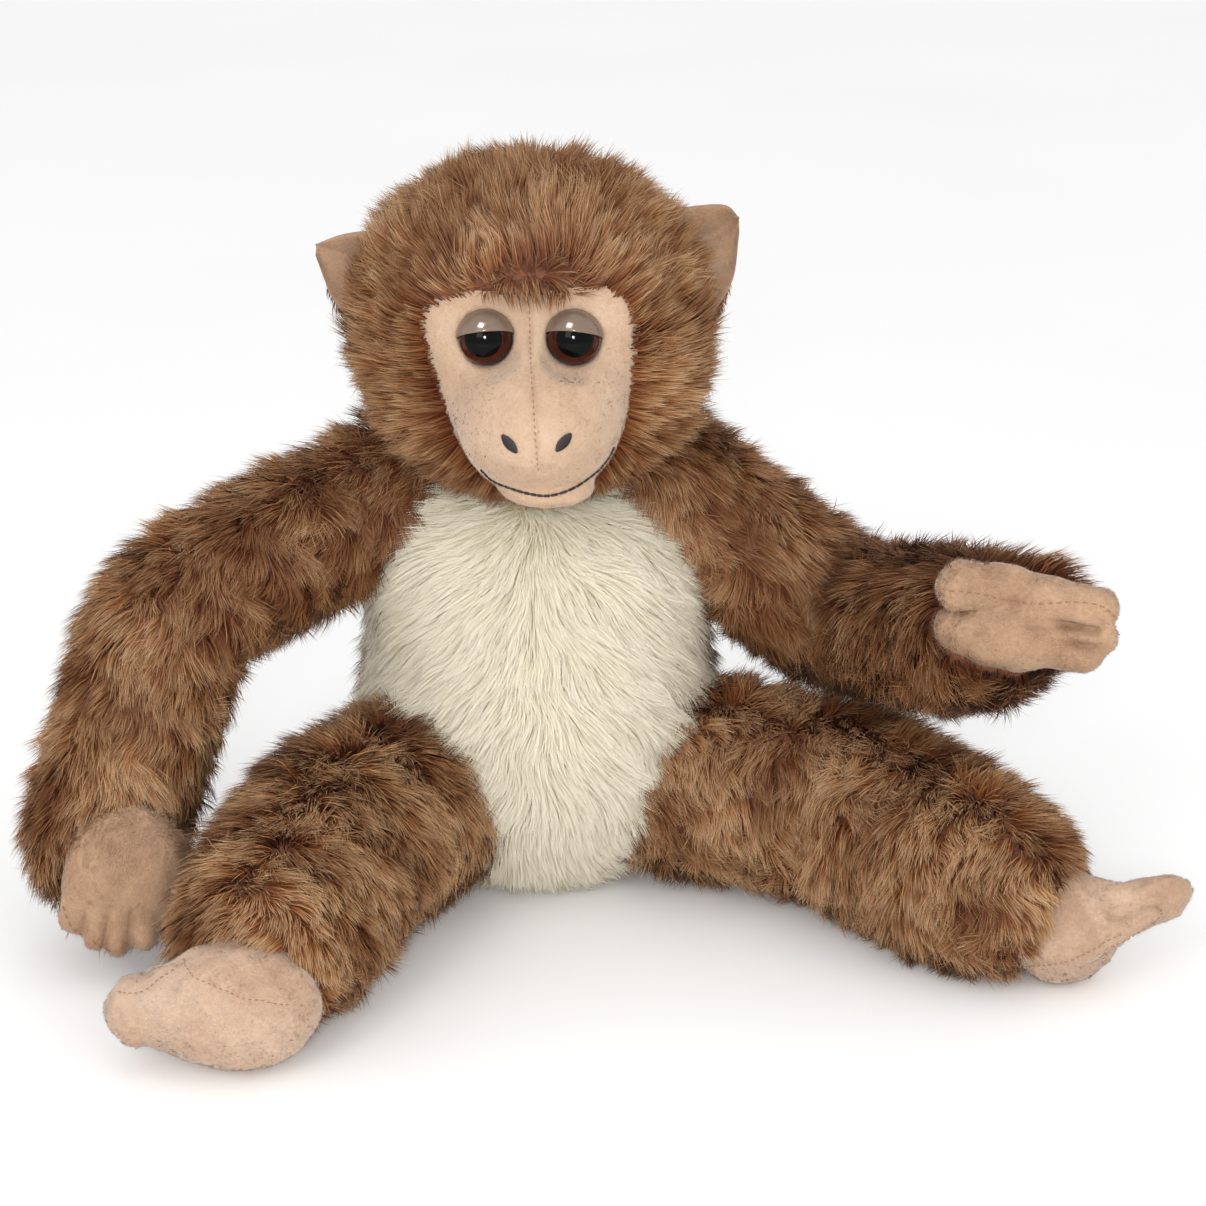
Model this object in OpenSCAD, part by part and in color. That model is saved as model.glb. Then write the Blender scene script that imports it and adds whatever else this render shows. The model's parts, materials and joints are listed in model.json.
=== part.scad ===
// Seated stuffed monkey with sewn joints at the neck, arms and legs.
// Millimetres. +Z is up, the toy faces -Y, and the flat seat lies at z = 0.
// Right and left are the toy's own sides: its right arm is on the -X side.

/* [Fabric] */
// Long-pile plush layer, backing plus pressed pile
plush_wall = 4; // [3:0.25:5]
// Short-pile fabric layer on the face, hands and feet
velour_wall = 2; // [1.5:0.1:3]
// Gap left between a fabric layer and the stuffing inside it
stuffing_gap = 0.2; // [0.1:0.05:0.4]

/* [Torso] */
// Radius of the body at its widest
torso_radius = 51; // [48:0.5:54]
// Height of the shoulder line above the seat
shoulder_height = 118; // [116:0.5:120]
// Radius of the round belly outline seen from the front
belly_outline_radius = 62; // [58:0.5:64]

/* [Head] */
// Largest radius of the head
head_radius = 47; // [45:0.5:49]
// Height of the widest part of the head above the seat
head_height = 174; // [172:0.5:176]
// Side roll of the head, its left side higher
head_roll = 5; // [0:0.5:8]
// Half the width of the strip over the crown
crown_half_width = 20; // [18:0.5:22]
// Half the width of the face opening
face_half_width = 30; // [28:0.5:32]
// Length of the snout in front of the face
snout_length = 43; // [40:0.5:45]

/* [Eyes] */
// Diameter of one eye
eye_diameter = 15.5; // [14:0.25:16]
// Distance between the eye centres
eye_spacing = 24.2; // [22:0.2:25]
// Diameter of the black pupil
pupil_diameter = 9.6; // [8:0.2:11]
// Thickness of the moulded eyelid
eyelid_thickness = 1; // [0.8:0.1:1.2]
// Radius of the washer that locks the eye
washer_radius = 7; // [6:0.25:7.5]

/* [Ears] */
// Thickness of each of the two ear layers
ear_layer = 2.6; // [2:0.1:3]

/* [Arms] */
// Radius of the arm at the shoulder
arm_radius = 20; // [18:0.5:21]
// Radius of the arm at the wrist
wrist_radius = 18; // [17:0.5:19]
// Radius of the hand
hand_radius = 14; // [13:0.5:14.5]

/* [Legs] */
// Radius of the leg at the hip
thigh_radius = 25.5; // [24:0.5:26]
// Radius of the leg at the ankle
ankle_radius = 22; // [21:0.5:23]
// Radius of the foot
foot_radius = 15.5; // [14.5:0.5:16]

/* [Movement] */
// Clearance between one moving part and the next
joint_gap = 0.7; // [0.5:0.1:1]
// How far an arm lifts at the shoulder, degrees
shoulder_travel = 35; // [10:1:35]
// How far an elbow straightens, degrees
elbow_travel = 40; // [10:1:40]
// How far a wrist bends, degrees
wrist_travel = 30; // [10:1:30]
// How far a leg swings at the hip, degrees
hip_travel = 15; // [5:1:15]
// How far a knee lifts the lower leg, degrees
knee_travel = 25; // [10:1:25]
// How far a foot tips up at the ankle, degrees
ankle_travel = 20; // [5:1:20]

/* [Hidden] */
$fn = 72;
arc_step = 10;
limb_fullness = 0.4;
far = 300;
origin = [0, 0, 0];

// Joint centres and limb ends, the toy's own right side first
neck_centre = [0, -8, 134];
neck_radius = 20;
head_centre = [0, -16, head_height];
right_shoulder = [-42, -5, shoulder_height];
right_elbow = [-104, -38, 92];
right_wrist = [-123, -64, 38];
right_fingers = [-124, -73, 15];
left_shoulder = [42, -5, shoulder_height];
left_elbow = [94, 4, 77];
left_wrist = [126, -57, 94];
left_fingers = [151, -66, 93];
right_hip = [-37, -31, 32];
right_knee = [-57, -68, 33];
right_ankle = [-71, -112, 26];
right_heel = [-74, -130, 19];
right_toes = [-99, -139, 17];
left_hip = [47, -14, 32];
left_knee = [92, -34, 31];
left_ankle = [130, -76, 25];
left_heel = [147, -84, 18];
left_toes = [174, -85, 21];

// Points inside the torso that each limb joint backs onto
right_shoulder_back = [0, 0, shoulder_height];
left_shoulder_back = [0, 0, shoulder_height];
right_hip_back = [0, 0, 32];
left_hip_back = [0, 0, 32];

// Hinge directions
up = [0, 0, 1];
right_raise = [0, 1, 0];
left_raise = [0, -1, 0];
right_elbow_axis = cross(right_wrist - right_elbow, right_elbow - right_shoulder);
left_elbow_axis = cross(left_wrist - left_elbow, left_elbow - left_shoulder);
right_wrist_axis = [-1, 0, 0];
left_wrist_axis = [0, 0, 1];
right_knee_axis = cross(right_ankle - right_knee, up);
left_knee_axis = cross(left_ankle - left_knee, up);
right_ankle_axis = cross(right_toes - right_heel, up);
left_ankle_axis = cross(left_toes - left_heel, up);

// ---------- shared shapes ----------

// Puts +Z of its children along the line from a to b, starting at a
module along(a, b) {
    d = b - a;
    translate(a)
        rotate([0, acos(d[2] / norm(d)), atan2(d[1], d[0])])
            children();
}

// Turns its children about a line through a point
module turned(point, axis, angle) {
    translate(point)
        rotate(a = angle, v = axis)
            translate(-point)
                children();
}

// Solid of revolution with a round end of radius r0 at z = 0 and a slightly full middle.
// The other end is at z = len with radius r1, round or cut square.
module limb_profile(len, r0, r1, round_end) {
    start = [for (a = [-90 : arc_step : 0]) [r0 * cos(a), r0 * sin(a)]];
    side = [for (t = [1 / 6 : 1 / 6 : 0.9])
        [r0 + (r1 - r0) * t + limb_fullness * sin(180 * t), t * len]];
    rounded = [for (a = [0 : arc_step : 90]) [r1 * cos(a), len + r1 * sin(a)]];
    square_end = [[r1, len], [0, len]];
    rotate_extrude()
        polygon(concat(start, side, round_end ? rounded : square_end));
}

// Round joint hollow built from narrow rings
module ball(r) {
    rotate([0, 0, 23])
        rotate_extrude()
            polygon([for (a = [-90 : arc_step : 90]) [r * cos(a), r * sin(a)]]);
}

// Cuts each corner of an open outline once, so that it reads as a soft curve
function softened(p) = concat(
    [p[0]],
    [for (i = [0 : len(p) - 2], t = [0.25, 0.75])
        if (!(i == 0 && t < 0.5) && !(i == len(p) - 2 && t > 0.5)) p[i] + (p[i + 1] - p[i]) * t],
    [p[len(p) - 1]]
);

module limb(a, b, r0, r1, round_end) {
    along(a, b)
        limb_profile(norm(b - a), r0, r1, round_end);
}

// Room swept by a limb of radius r that starts at a, points at b and turns about axis.
// The body it turns in lies towards back.
module limb_room(back, a, b, r, axis, low, high, extra) {
    along(a, back)
        ball(r + joint_gap + 0.4 + extra);
    for (angle = high - low > 20 ? [low, (low + high) / 2, high] : [low, high])
        turned(a, axis, angle)
            along(a, b)
                cylinder(r = r + joint_gap + extra, h = norm(b - a));
}

// Half of space on the side of a plane that the normal points to
module half_space(point, normal) {
    along(point, point + normal)
        translate([-far / 2, -far / 2, 0])
            cube([far, far, far]);
}

// ---------- torso ----------

module torso_form(inset) {
    r = torso_radius - inset;
    base = inset;
    rotate_extrude()
        polygon(softened([
            [0, base],
            [r - 11, base],
            [r - 5, base + 4],
            [r - 1.5, base + 15],
            [r, 38],
            [r, 62],
            [r - 2, 80],
            [r - 6, 97],
            [r - 11, 111],
            [r - 17, 121 - inset],
            [r - 24, 126 - inset],
            [0, 126 - inset]
        ]));
}

// Hollows in the torso for the neck, arms and legs
module torso_hollows(extra) {
    translate(neck_centre)
        sphere(r = neck_radius + joint_gap + extra);
    limb_room(
        right_shoulder_back, right_shoulder, right_elbow, arm_radius,
        right_raise, 0, shoulder_travel, extra
    );
    limb_room(
        left_shoulder_back, left_shoulder, left_elbow, arm_radius,
        left_raise, 0, shoulder_travel, extra
    );
    limb_room(right_hip_back, right_hip, right_knee, thigh_radius, up, 0, hip_travel, extra);
    limb_room(left_hip_back, left_hip, left_knee, thigh_radius, up, -hip_travel, 0, extra);
}

module torso_skin() {
    difference() {
        torso_form(0);
        torso_hollows(0);
        torso_core(0);
    }
}

module torso_core(gap) {
    difference() {
        torso_form(plush_wall + gap);
        torso_hollows(plush_wall + gap);
    }
}

// Rounded front outline of the cream belly
module belly_region() {
    translate([0, -4, 68])
        rotate([90, 0, 0])
            cylinder(r = belly_outline_radius, h = far / 2);
}

module back_panel() {
    color([0.55, 0.38, 0.24])
        difference() {
            torso_skin();
            belly_region();
        }
}

module right_belly_panel() {
    color([0.88, 0.83, 0.72])
        intersection() {
            torso_skin();
            belly_region();
            half_space(origin, [-1, 0, 0]);
        }
}

module left_belly_panel() {
    color([0.88, 0.83, 0.72])
        intersection() {
            torso_skin();
            belly_region();
            half_space(origin, [1, 0, 0]);
        }
}

module torso_stuffing() {
    color([0.95, 0.95, 0.93])
        torso_core(stuffing_gap);
}

// ---------- neck ----------

module neck_sleeve() {
    color([0.55, 0.38, 0.24])
        translate(neck_centre)
            difference() {
                sphere(r = neck_radius);
                sphere(r = neck_radius - plush_wall);
            }
}

module neck_stuffing() {
    color([0.95, 0.95, 0.93])
        translate(neck_centre)
            sphere(r = neck_radius - plush_wall - stuffing_gap);
}

// ---------- head ----------

// The head is drawn upright about its own centre, then rolled into place
module head_pose() {
    translate(head_centre)
        rotate([0, -head_roll, 0])
            children();
}

module skull_form(inset) {
    r = head_radius - inset;
    rotate_extrude()
        polygon(softened([
            [0, inset - 42],
            [r - 26, inset - 42],
            [r - 13, inset - 36],
            [r - 5, inset - 24],
            [r - 1, -10],
            [r, 4],
            [r - 2, 17],
            [r - 8, 29 - inset * 0.5],
            [r - 17, 38 - inset * 0.8],
            [r - 30, 43 - inset],
            [r - 40, 44.5 - inset],
            [0, 44.5 - inset]
        ]));
}

// Snout: a blunt egg that reaches forward and a little down
snout_root = [1, -16, -10];
snout_tip = snout_root + [2, -snout_length - 4, -9];
snout_steps = [
    [0, 25], [0.35, 25], [0.62, 23.5], [0.8, 21], [0.92, 17.5], [1.02, 12], [1.08, 6]
];

module snout_form(inset) {
    reach = norm(snout_tip - snout_root);
    along(snout_root, snout_tip)
        rotate_extrude()
            polygon(concat(
                [[0, 0]],
                [for (s = snout_steps) [s[1] - inset * 0.92, s[0] * reach - inset * s[0]]],
                [[0, 1.09 * reach - inset]]
            ));
}

// Front window of the face: two brow lobes, cheeks and chin
module face_window() {
    rotate([90, 0, 0])
        linear_extrude(far / 2)
            union() {
                translate([-10, 3])
                    circle(r = face_half_width - 10);
                translate([10, 3])
                    circle(r = face_half_width - 10);
                translate([2, -15])
                    circle(r = 24);
            }
}

// The neck stands upright, so its hollow doesn't roll with the head
module head_hollows(extra) {
    rotate([0, head_roll, 0])
        translate(neck_centre - head_centre)
            ball(neck_radius + joint_gap + 0.2 + extra);
}

module eye_at(side) {
    translate([side * eye_spacing / 2, -43.5, 8])
        rotate([6, 0, side * 10])
            children();
}

module eye_socket(extra) {
    for (side = [-1, 1])
        eye_at(side) {
            sphere(r = eye_diameter / 2 + extra);
            rotate([-90, 0, 0])
                cylinder(r = 2.2 + extra, h = 14 + extra);
        }
}

module washer_room(extra) {
    for (side = [-1, 1])
        eye_at(side)
            translate([0, 7.6 - extra, 0])
                rotate([-90, 0, 0])
                    cylinder(r = washer_radius + 0.3 + extra, h = 2.1 + 2 * extra);
}

module head_core(gap) {
    difference() {
        union() {
            skull_form(plush_wall + gap);
            snout_form(velour_wall + gap);
        }
        head_hollows(plush_wall + gap);
        eye_socket(eyelid_thickness + 0.1 + gap);
        washer_room(gap);
    }
}

// Fur layer of the skull, without the face window
module skull_skin() {
    difference() {
        skull_form(0);
        skull_form(plush_wall);
        head_hollows(0);
        face_window();
        snout_form(-0.2);
    }
}

// Short-pile face layer: the skull front inside the window, joined to the snout
module face_skin() {
    difference() {
        union() {
            intersection() {
                skull_form(0.6);
                face_window();
            }
            intersection() {
                snout_form(0);
                translate([-far / 2, -far - 24, -far / 2])
                    cube([far, far, far]);
            }
        }
        skull_form(plush_wall);
        snout_form(velour_wall);
        head_hollows(0);
        eye_socket(eyelid_thickness + 0.1);
    }
}

// Ring-shaped room that the mouth line follows, seen from the front
mouth_centre = [3, -9];
mouth_radius = 21.5;

module mouth_disc(r) {
    translate([mouth_centre[0], 0, mouth_centre[1]])
        rotate([90, 0, 0])
            cylinder(r = r, h = far / 2);
}

module below_mouth_corners() {
    half_space([0, 0, -20], [0, 0, -1]);
}

module chin_region() {
    difference() {
        below_mouth_corners();
        mouth_disc(mouth_radius);
    }
}

module skull_band(low, high) {
    translate([low, -far / 2, -far / 2])
        cube([high - low, far, far]);
}

// Front and underside of the skull below the face, left out of the crown strip
module throat_region() {
    translate([-far / 2, 7 - far, -far - 12])
        cube([far, far, far]);
}

module crown_panel() {
    color([0.55, 0.38, 0.24])
        head_pose()
            difference() {
                intersection() {
                    skull_skin();
                    skull_band(-crown_half_width, crown_half_width);
                }
                throat_region();
            }
}

module side_region(side) {
    low = side < 0 ? -far / 2 : crown_half_width;
    high = side < 0 ? -crown_half_width : far / 2;
    throat_low = side < 0 ? -far / 2 : 0;
    skull_band(low, high);
    intersection() {
        skull_band(throat_low, throat_low + far / 2);
        throat_region();
    }
}

module right_head_panel() {
    color([0.52, 0.36, 0.23])
        head_pose()
            intersection() {
                skull_skin();
                side_region(-1);
            }
}

module left_head_panel() {
    color([0.52, 0.36, 0.23])
        head_pose()
            intersection() {
                skull_skin();
                side_region(1);
            }
}

module right_face_panel() {
    color([0.84, 0.68, 0.56])
        head_pose()
            difference() {
                intersection() {
                    face_skin();
                    skull_band(-far / 2, 2);
                }
                chin_region();
                mouth_room();
                nostril_room();
            }
}

module left_face_panel() {
    color([0.84, 0.68, 0.56])
        head_pose()
            difference() {
                intersection() {
                    face_skin();
                    skull_band(2, far / 2);
                }
                chin_region();
                mouth_room();
                nostril_room();
            }
}

module chin_panel() {
    color([0.84, 0.68, 0.56])
        head_pose()
            difference() {
                intersection() {
                    face_skin();
                    chin_region();
                }
                mouth_room();
            }
}

// Groove and thread of the mouth line
module mouth_band(half) {
    intersection() {
        difference() {
            mouth_disc(mouth_radius + half);
            mouth_disc(mouth_radius - half);
        }
        below_mouth_corners();
        translate([-far / 2, -far - 40, -far / 2])
            cube([far, far, far]);
    }
}

module mouth_room() {
    difference() {
        mouth_band(0.7);
        snout_form(1.1);
    }
}

module mouth_stitch() {
    color([0.10, 0.09, 0.09])
        head_pose()
            difference() {
                intersection() {
                    mouth_band(0.6);
                    snout_form(-0.4);
                }
                snout_form(1);
            }
}

module nostril_cutter(side, grow) {
    translate([2.4 + side * 7.2, -40, -18])
        rotate([0, side * 32, 0])
            rotate([90, 0, 0])
                linear_extrude(60)
                    intersection() {
                        translate([-2.6, 0])
                            circle(r = 5.4 + grow);
                        translate([2.6, 0])
                            circle(r = 5.4 + grow);
                    }
}

module nostril_room() {
    for (side = [-1, 1])
        difference() {
            nostril_cutter(side, 0.1);
            snout_form(1.1);
        }
}

module nostril(side) {
    color([0.20, 0.17, 0.16])
        head_pose()
            difference() {
                intersection() {
                    nostril_cutter(side, 0);
                    snout_form(-0.4);
                }
                snout_form(1);
            }
}

module right_nostril() {
    nostril(-1);
}

module left_nostril() {
    nostril(1);
}

// Ear flap outline, base on the head side, tip outward
module ear_plate(thickness) {
    rotate([90, 0, 0])
        linear_extrude(thickness)
            polygon([
                [-6, -17], [3, -16], [9, -9], [13, 0], [15.5, 8],
                [14, 11], [8, 12], [0, 13.5], [-6, 14]
            ]);
}

// side is -1 for the right ear and 1 for the left ear
module ear(side, layer) {
    head_pose()
        difference() {
            translate([side * 44, 4, 20])
                rotate([0, 0, side * -12])
                    scale([side, 1, 1])
                        translate([0, -layer * (ear_layer + 0.1), 0])
                            ear_plate(ear_layer);
            skull_form(-0.15);
        }
}

module right_ear_front() {
    color([0.84, 0.68, 0.56])
        ear(-1, 1);
}

module right_ear_back() {
    color([0.55, 0.38, 0.24])
        ear(-1, 0);
}

module left_ear_front() {
    color([0.84, 0.68, 0.56])
        ear(1, 1);
}

module left_ear_back() {
    color([0.55, 0.38, 0.24])
        ear(1, 0);
}

// Eye: moulded ball with a stem, black pupil set in its front
module pupil_core(grow) {
    translate([0, 0, -1.2])
        rotate([90, 0, 0])
            translate([0, 0, 5.2 - grow])
                cylinder(r = pupil_diameter / 2 + grow, h = 10);
}

module eyeball(side) {
    color([0.22, 0.12, 0.07])
        head_pose()
            eye_at(side)
                difference() {
                    union() {
                        sphere(r = eye_diameter / 2);
                        rotate([-90, 0, 0])
                            cylinder(r = 2, h = 13);
                    }
                    pupil_core(0.05);
                }
}

module pupil(side) {
    color([0.03, 0.03, 0.03])
        head_pose()
            eye_at(side)
                intersection() {
                    sphere(r = eye_diameter / 2);
                    pupil_core(0);
                }
}

module eyelid(side) {
    color([0.52, 0.45, 0.39])
        head_pose()
            eye_at(side)
                difference() {
                    sphere(r = eye_diameter / 2 + eyelid_thickness);
                    sphere(r = eye_diameter / 2 + 0.05);
                    rotate([-8, 0, 0])
                        translate([-20, -20, -40 + 1])
                            cube([40, 40, 40]);
                    translate([-20, 1, -20])
                        cube([40, 40, 40]);
                }
}

module eye_washer(side) {
    color([0.80, 0.80, 0.80])
        head_pose()
            eye_at(side)
                translate([0, 7.8, 0])
                    rotate([-90, 0, 0])
                        difference() {
                            cylinder(r = washer_radius, h = 1.7);
                            translate([0, 0, -1])
                                cylinder(r = 2.1, h = 4);
                        }
}

module right_eyeball() {
    eyeball(-1);
}

module right_pupil() {
    pupil(-1);
}

module right_eyelid() {
    eyelid(-1);
}

module right_eye_washer() {
    eye_washer(-1);
}

module left_eyeball() {
    eyeball(1);
}

module left_pupil() {
    pupil(1);
}

module left_eyelid() {
    eyelid(1);
}

module left_eye_washer() {
    eye_washer(1);
}

module head_stuffing() {
    color([0.95, 0.95, 0.93])
        head_pose()
            head_core(stuffing_gap);
}

// ---------- arms ----------

elbow_radius = arm_radius - 0.5;
wrist_ball = hand_radius + 0.5;

module upper_arm_form(shoulder, elbow, wrist, axis, inset) {
    difference() {
        limb(shoulder, elbow, arm_radius - inset, arm_radius - 1 - inset, false);
        limb_room(shoulder, elbow, wrist, elbow_radius, axis, 0, elbow_travel, inset);
    }
}

module forearm_form(elbow, wrist, fingers, axis, low, high, inset) {
    difference() {
        limb(elbow, wrist, elbow_radius - inset, wrist_radius - inset, false);
        limb_room(elbow, wrist, fingers, wrist_ball, axis, low, high, inset * 0.3);
    }
}

module hand_form(wrist, fingers, inset) {
    limb(wrist, fingers, wrist_ball - inset, hand_radius - 1 - inset, true);
}

module thumb_form(base, tip, inset) {
    limb(base, tip, 6.5 - inset, 5.5 - inset, true);
}

module right_upper_arm(inset) {
    upper_arm_form(right_shoulder, right_elbow, right_wrist, right_elbow_axis, inset);
}

module left_upper_arm(inset) {
    upper_arm_form(left_shoulder, left_elbow, left_wrist, left_elbow_axis, inset);
}

module right_forearm(inset) {
    forearm_form(right_elbow, right_wrist, right_fingers, right_wrist_axis, 0, wrist_travel, inset);
}

module left_forearm(inset) {
    forearm_form(left_elbow, left_wrist, left_fingers, left_wrist_axis, -wrist_travel / 2,
        wrist_travel / 2, inset);
}

module right_upper_arm_sleeve() {
    color([0.55, 0.38, 0.24])
        difference() {
            right_upper_arm(0);
            right_upper_arm(plush_wall);
        }
}

module right_upper_arm_stuffing() {
    color([0.95, 0.95, 0.93])
        right_upper_arm(plush_wall + stuffing_gap);
}

module right_forearm_sleeve() {
    color([0.55, 0.38, 0.24])
        difference() {
            right_forearm(0);
            right_forearm(plush_wall);
        }
}

module right_forearm_stuffing() {
    color([0.95, 0.95, 0.93])
        right_forearm(plush_wall + stuffing_gap);
}

module left_upper_arm_sleeve() {
    color([0.55, 0.38, 0.24])
        difference() {
            left_upper_arm(0);
            left_upper_arm(plush_wall);
        }
}

module left_upper_arm_stuffing() {
    color([0.95, 0.95, 0.93])
        left_upper_arm(plush_wall + stuffing_gap);
}

module left_forearm_sleeve() {
    color([0.55, 0.38, 0.24])
        difference() {
            left_forearm(0);
            left_forearm(plush_wall);
        }
}

module left_forearm_stuffing() {
    color([0.95, 0.95, 0.93])
        left_forearm(plush_wall + stuffing_gap);
}

// The palm faces this way on each hand
right_palm_normal = [0.1, -0.95, 0.3];
left_palm_normal = [-0.2, -0.95, 0.2];
right_thumb_base = right_wrist + [9, -9, -14];
right_thumb_tip = right_thumb_base + [6, -6, -8];
left_thumb_base = left_wrist + [4, -12, 5];
left_thumb_tip = left_thumb_base + [-9, -8, 5];

module hand_shell(wrist, fingers, thumb_base, thumb_tip) {
    difference() {
        hand_form(wrist, fingers, 0);
        hand_form(wrist, fingers, velour_wall);
        thumb_form(thumb_base, thumb_tip, -0.15);
    }
}

module right_palm() {
    color([0.84, 0.68, 0.56])
        intersection() {
            hand_shell(right_wrist, right_fingers, right_thumb_base, right_thumb_tip);
            half_space(right_wrist, right_palm_normal);
        }
}

module right_hand_back() {
    color([0.55, 0.38, 0.24])
        intersection() {
            hand_shell(right_wrist, right_fingers, right_thumb_base, right_thumb_tip);
            half_space(right_wrist, -right_palm_normal);
        }
}

module right_thumb() {
    color([0.84, 0.68, 0.56])
        difference() {
            thumb_form(right_thumb_base, right_thumb_tip, 0);
            hand_form(right_wrist, right_fingers, velour_wall);
        }
}

module right_hand_stuffing() {
    color([0.95, 0.95, 0.93])
        hand_form(right_wrist, right_fingers, velour_wall + stuffing_gap);
}

module left_palm() {
    color([0.84, 0.68, 0.56])
        intersection() {
            hand_shell(left_wrist, left_fingers, left_thumb_base, left_thumb_tip);
            half_space(left_wrist, left_palm_normal);
        }
}

module left_hand_back() {
    color([0.55, 0.38, 0.24])
        intersection() {
            hand_shell(left_wrist, left_fingers, left_thumb_base, left_thumb_tip);
            half_space(left_wrist, -left_palm_normal);
        }
}

module left_thumb() {
    color([0.84, 0.68, 0.56])
        difference() {
            thumb_form(left_thumb_base, left_thumb_tip, 0);
            hand_form(left_wrist, left_fingers, velour_wall);
        }
}

module left_hand_stuffing() {
    color([0.95, 0.95, 0.93])
        hand_form(left_wrist, left_fingers, velour_wall + stuffing_gap);
}

// ---------- legs ----------

knee_radius = thigh_radius - 0.5;
ankle_ball = foot_radius + 1;

module thigh_form(hip, knee, ankle, axis, inset) {
    difference() {
        limb(hip, knee, thigh_radius - inset, thigh_radius - 1 - inset, false);
        limb_room(hip, knee, ankle, knee_radius, axis, 0, knee_travel, inset);
    }
}

module shin_form(knee, ankle, heel, axis, inset) {
    difference() {
        limb(knee, ankle, knee_radius - inset, ankle_radius - inset, false);
        limb_room(knee, ankle, heel, ankle_ball, axis, 0, ankle_travel, inset * 0.5);
    }
}

// Foot: a short ankle that runs into a rounded heel-to-toe body
module foot_form(ankle, heel, toes, inset) {
    limb(ankle, heel, ankle_ball - inset, foot_radius - 0.4 - inset, true);
    limb(heel, toes, foot_radius - inset, foot_radius - 3 - inset, true);
}

module right_thigh(inset) {
    thigh_form(right_hip, right_knee, right_ankle, right_knee_axis, inset);
}

module left_thigh(inset) {
    thigh_form(left_hip, left_knee, left_ankle, left_knee_axis, inset);
}

module right_shin(inset) {
    shin_form(right_knee, right_ankle, right_heel, right_ankle_axis, inset);
}

module left_shin(inset) {
    shin_form(left_knee, left_ankle, left_heel, left_ankle_axis, inset);
}

module right_foot_shell() {
    difference() {
        foot_form(right_ankle, right_heel, right_toes, 0);
        foot_form(right_ankle, right_heel, right_toes, velour_wall);
    }
}

module left_foot_shell() {
    difference() {
        foot_form(left_ankle, left_heel, left_toes, 0);
        foot_form(left_ankle, left_heel, left_toes, velour_wall);
    }
}

module right_thigh_sleeve() {
    color([0.55, 0.38, 0.24])
        difference() {
            right_thigh(0);
            right_thigh(plush_wall);
        }
}

module right_thigh_stuffing() {
    color([0.95, 0.95, 0.93])
        right_thigh(plush_wall + stuffing_gap);
}

module right_shin_sleeve() {
    color([0.55, 0.38, 0.24])
        difference() {
            right_shin(0);
            right_shin(plush_wall);
        }
}

module right_shin_stuffing() {
    color([0.95, 0.95, 0.93])
        right_shin(plush_wall + stuffing_gap);
}

module right_foot_sole() {
    color([0.80, 0.63, 0.50])
        intersection() {
            right_foot_shell();
            half_space(right_heel - 2 * up, -up);
        }
}

module right_foot_top() {
    color([0.84, 0.68, 0.56])
        intersection() {
            right_foot_shell();
            half_space(right_heel - 2 * up, up);
        }
}

module right_foot_stuffing() {
    color([0.95, 0.95, 0.93])
        foot_form(right_ankle, right_heel, right_toes, velour_wall + stuffing_gap);
}

module left_thigh_sleeve() {
    color([0.55, 0.38, 0.24])
        difference() {
            left_thigh(0);
            left_thigh(plush_wall);
        }
}

module left_thigh_stuffing() {
    color([0.95, 0.95, 0.93])
        left_thigh(plush_wall + stuffing_gap);
}

module left_shin_sleeve() {
    color([0.55, 0.38, 0.24])
        difference() {
            left_shin(0);
            left_shin(plush_wall);
        }
}

module left_shin_stuffing() {
    color([0.95, 0.95, 0.93])
        left_shin(plush_wall + stuffing_gap);
}

module left_foot_sole() {
    color([0.80, 0.63, 0.50])
        intersection() {
            left_foot_shell();
            half_space(left_heel - 2 * up, -up);
        }
}

module left_foot_top() {
    color([0.84, 0.68, 0.56])
        intersection() {
            left_foot_shell();
            half_space(left_heel - 2 * up, up);
        }
}

module left_foot_stuffing() {
    color([0.95, 0.95, 0.93])
        foot_form(left_ankle, left_heel, left_toes, velour_wall + stuffing_gap);
}

back_panel();
right_belly_panel();
left_belly_panel();
torso_stuffing();
neck_sleeve();
neck_stuffing();
crown_panel();
right_head_panel();
left_head_panel();
right_face_panel();
left_face_panel();
chin_panel();
mouth_stitch();
right_nostril();
left_nostril();
right_ear_front();
right_ear_back();
left_ear_front();
left_ear_back();
right_eyeball();
right_pupil();
right_eyelid();
right_eye_washer();
left_eyeball();
left_pupil();
left_eyelid();
left_eye_washer();
head_stuffing();
right_upper_arm_sleeve();
right_upper_arm_stuffing();
right_forearm_sleeve();
right_forearm_stuffing();
right_palm();
right_hand_back();
right_thumb();
right_hand_stuffing();
left_upper_arm_sleeve();
left_upper_arm_stuffing();
left_forearm_sleeve();
left_forearm_stuffing();
left_palm();
left_hand_back();
left_thumb();
left_hand_stuffing();
right_thigh_sleeve();
right_thigh_stuffing();
right_shin_sleeve();
right_shin_stuffing();
right_foot_sole();
right_foot_top();
right_foot_stuffing();
left_thigh_sleeve();
left_thigh_stuffing();
left_shin_sleeve();
left_shin_stuffing();
left_foot_sole();
left_foot_top();
left_foot_stuffing();
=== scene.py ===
import json
import math

import bpy
import numpy as np
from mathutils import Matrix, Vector, kdtree

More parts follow.
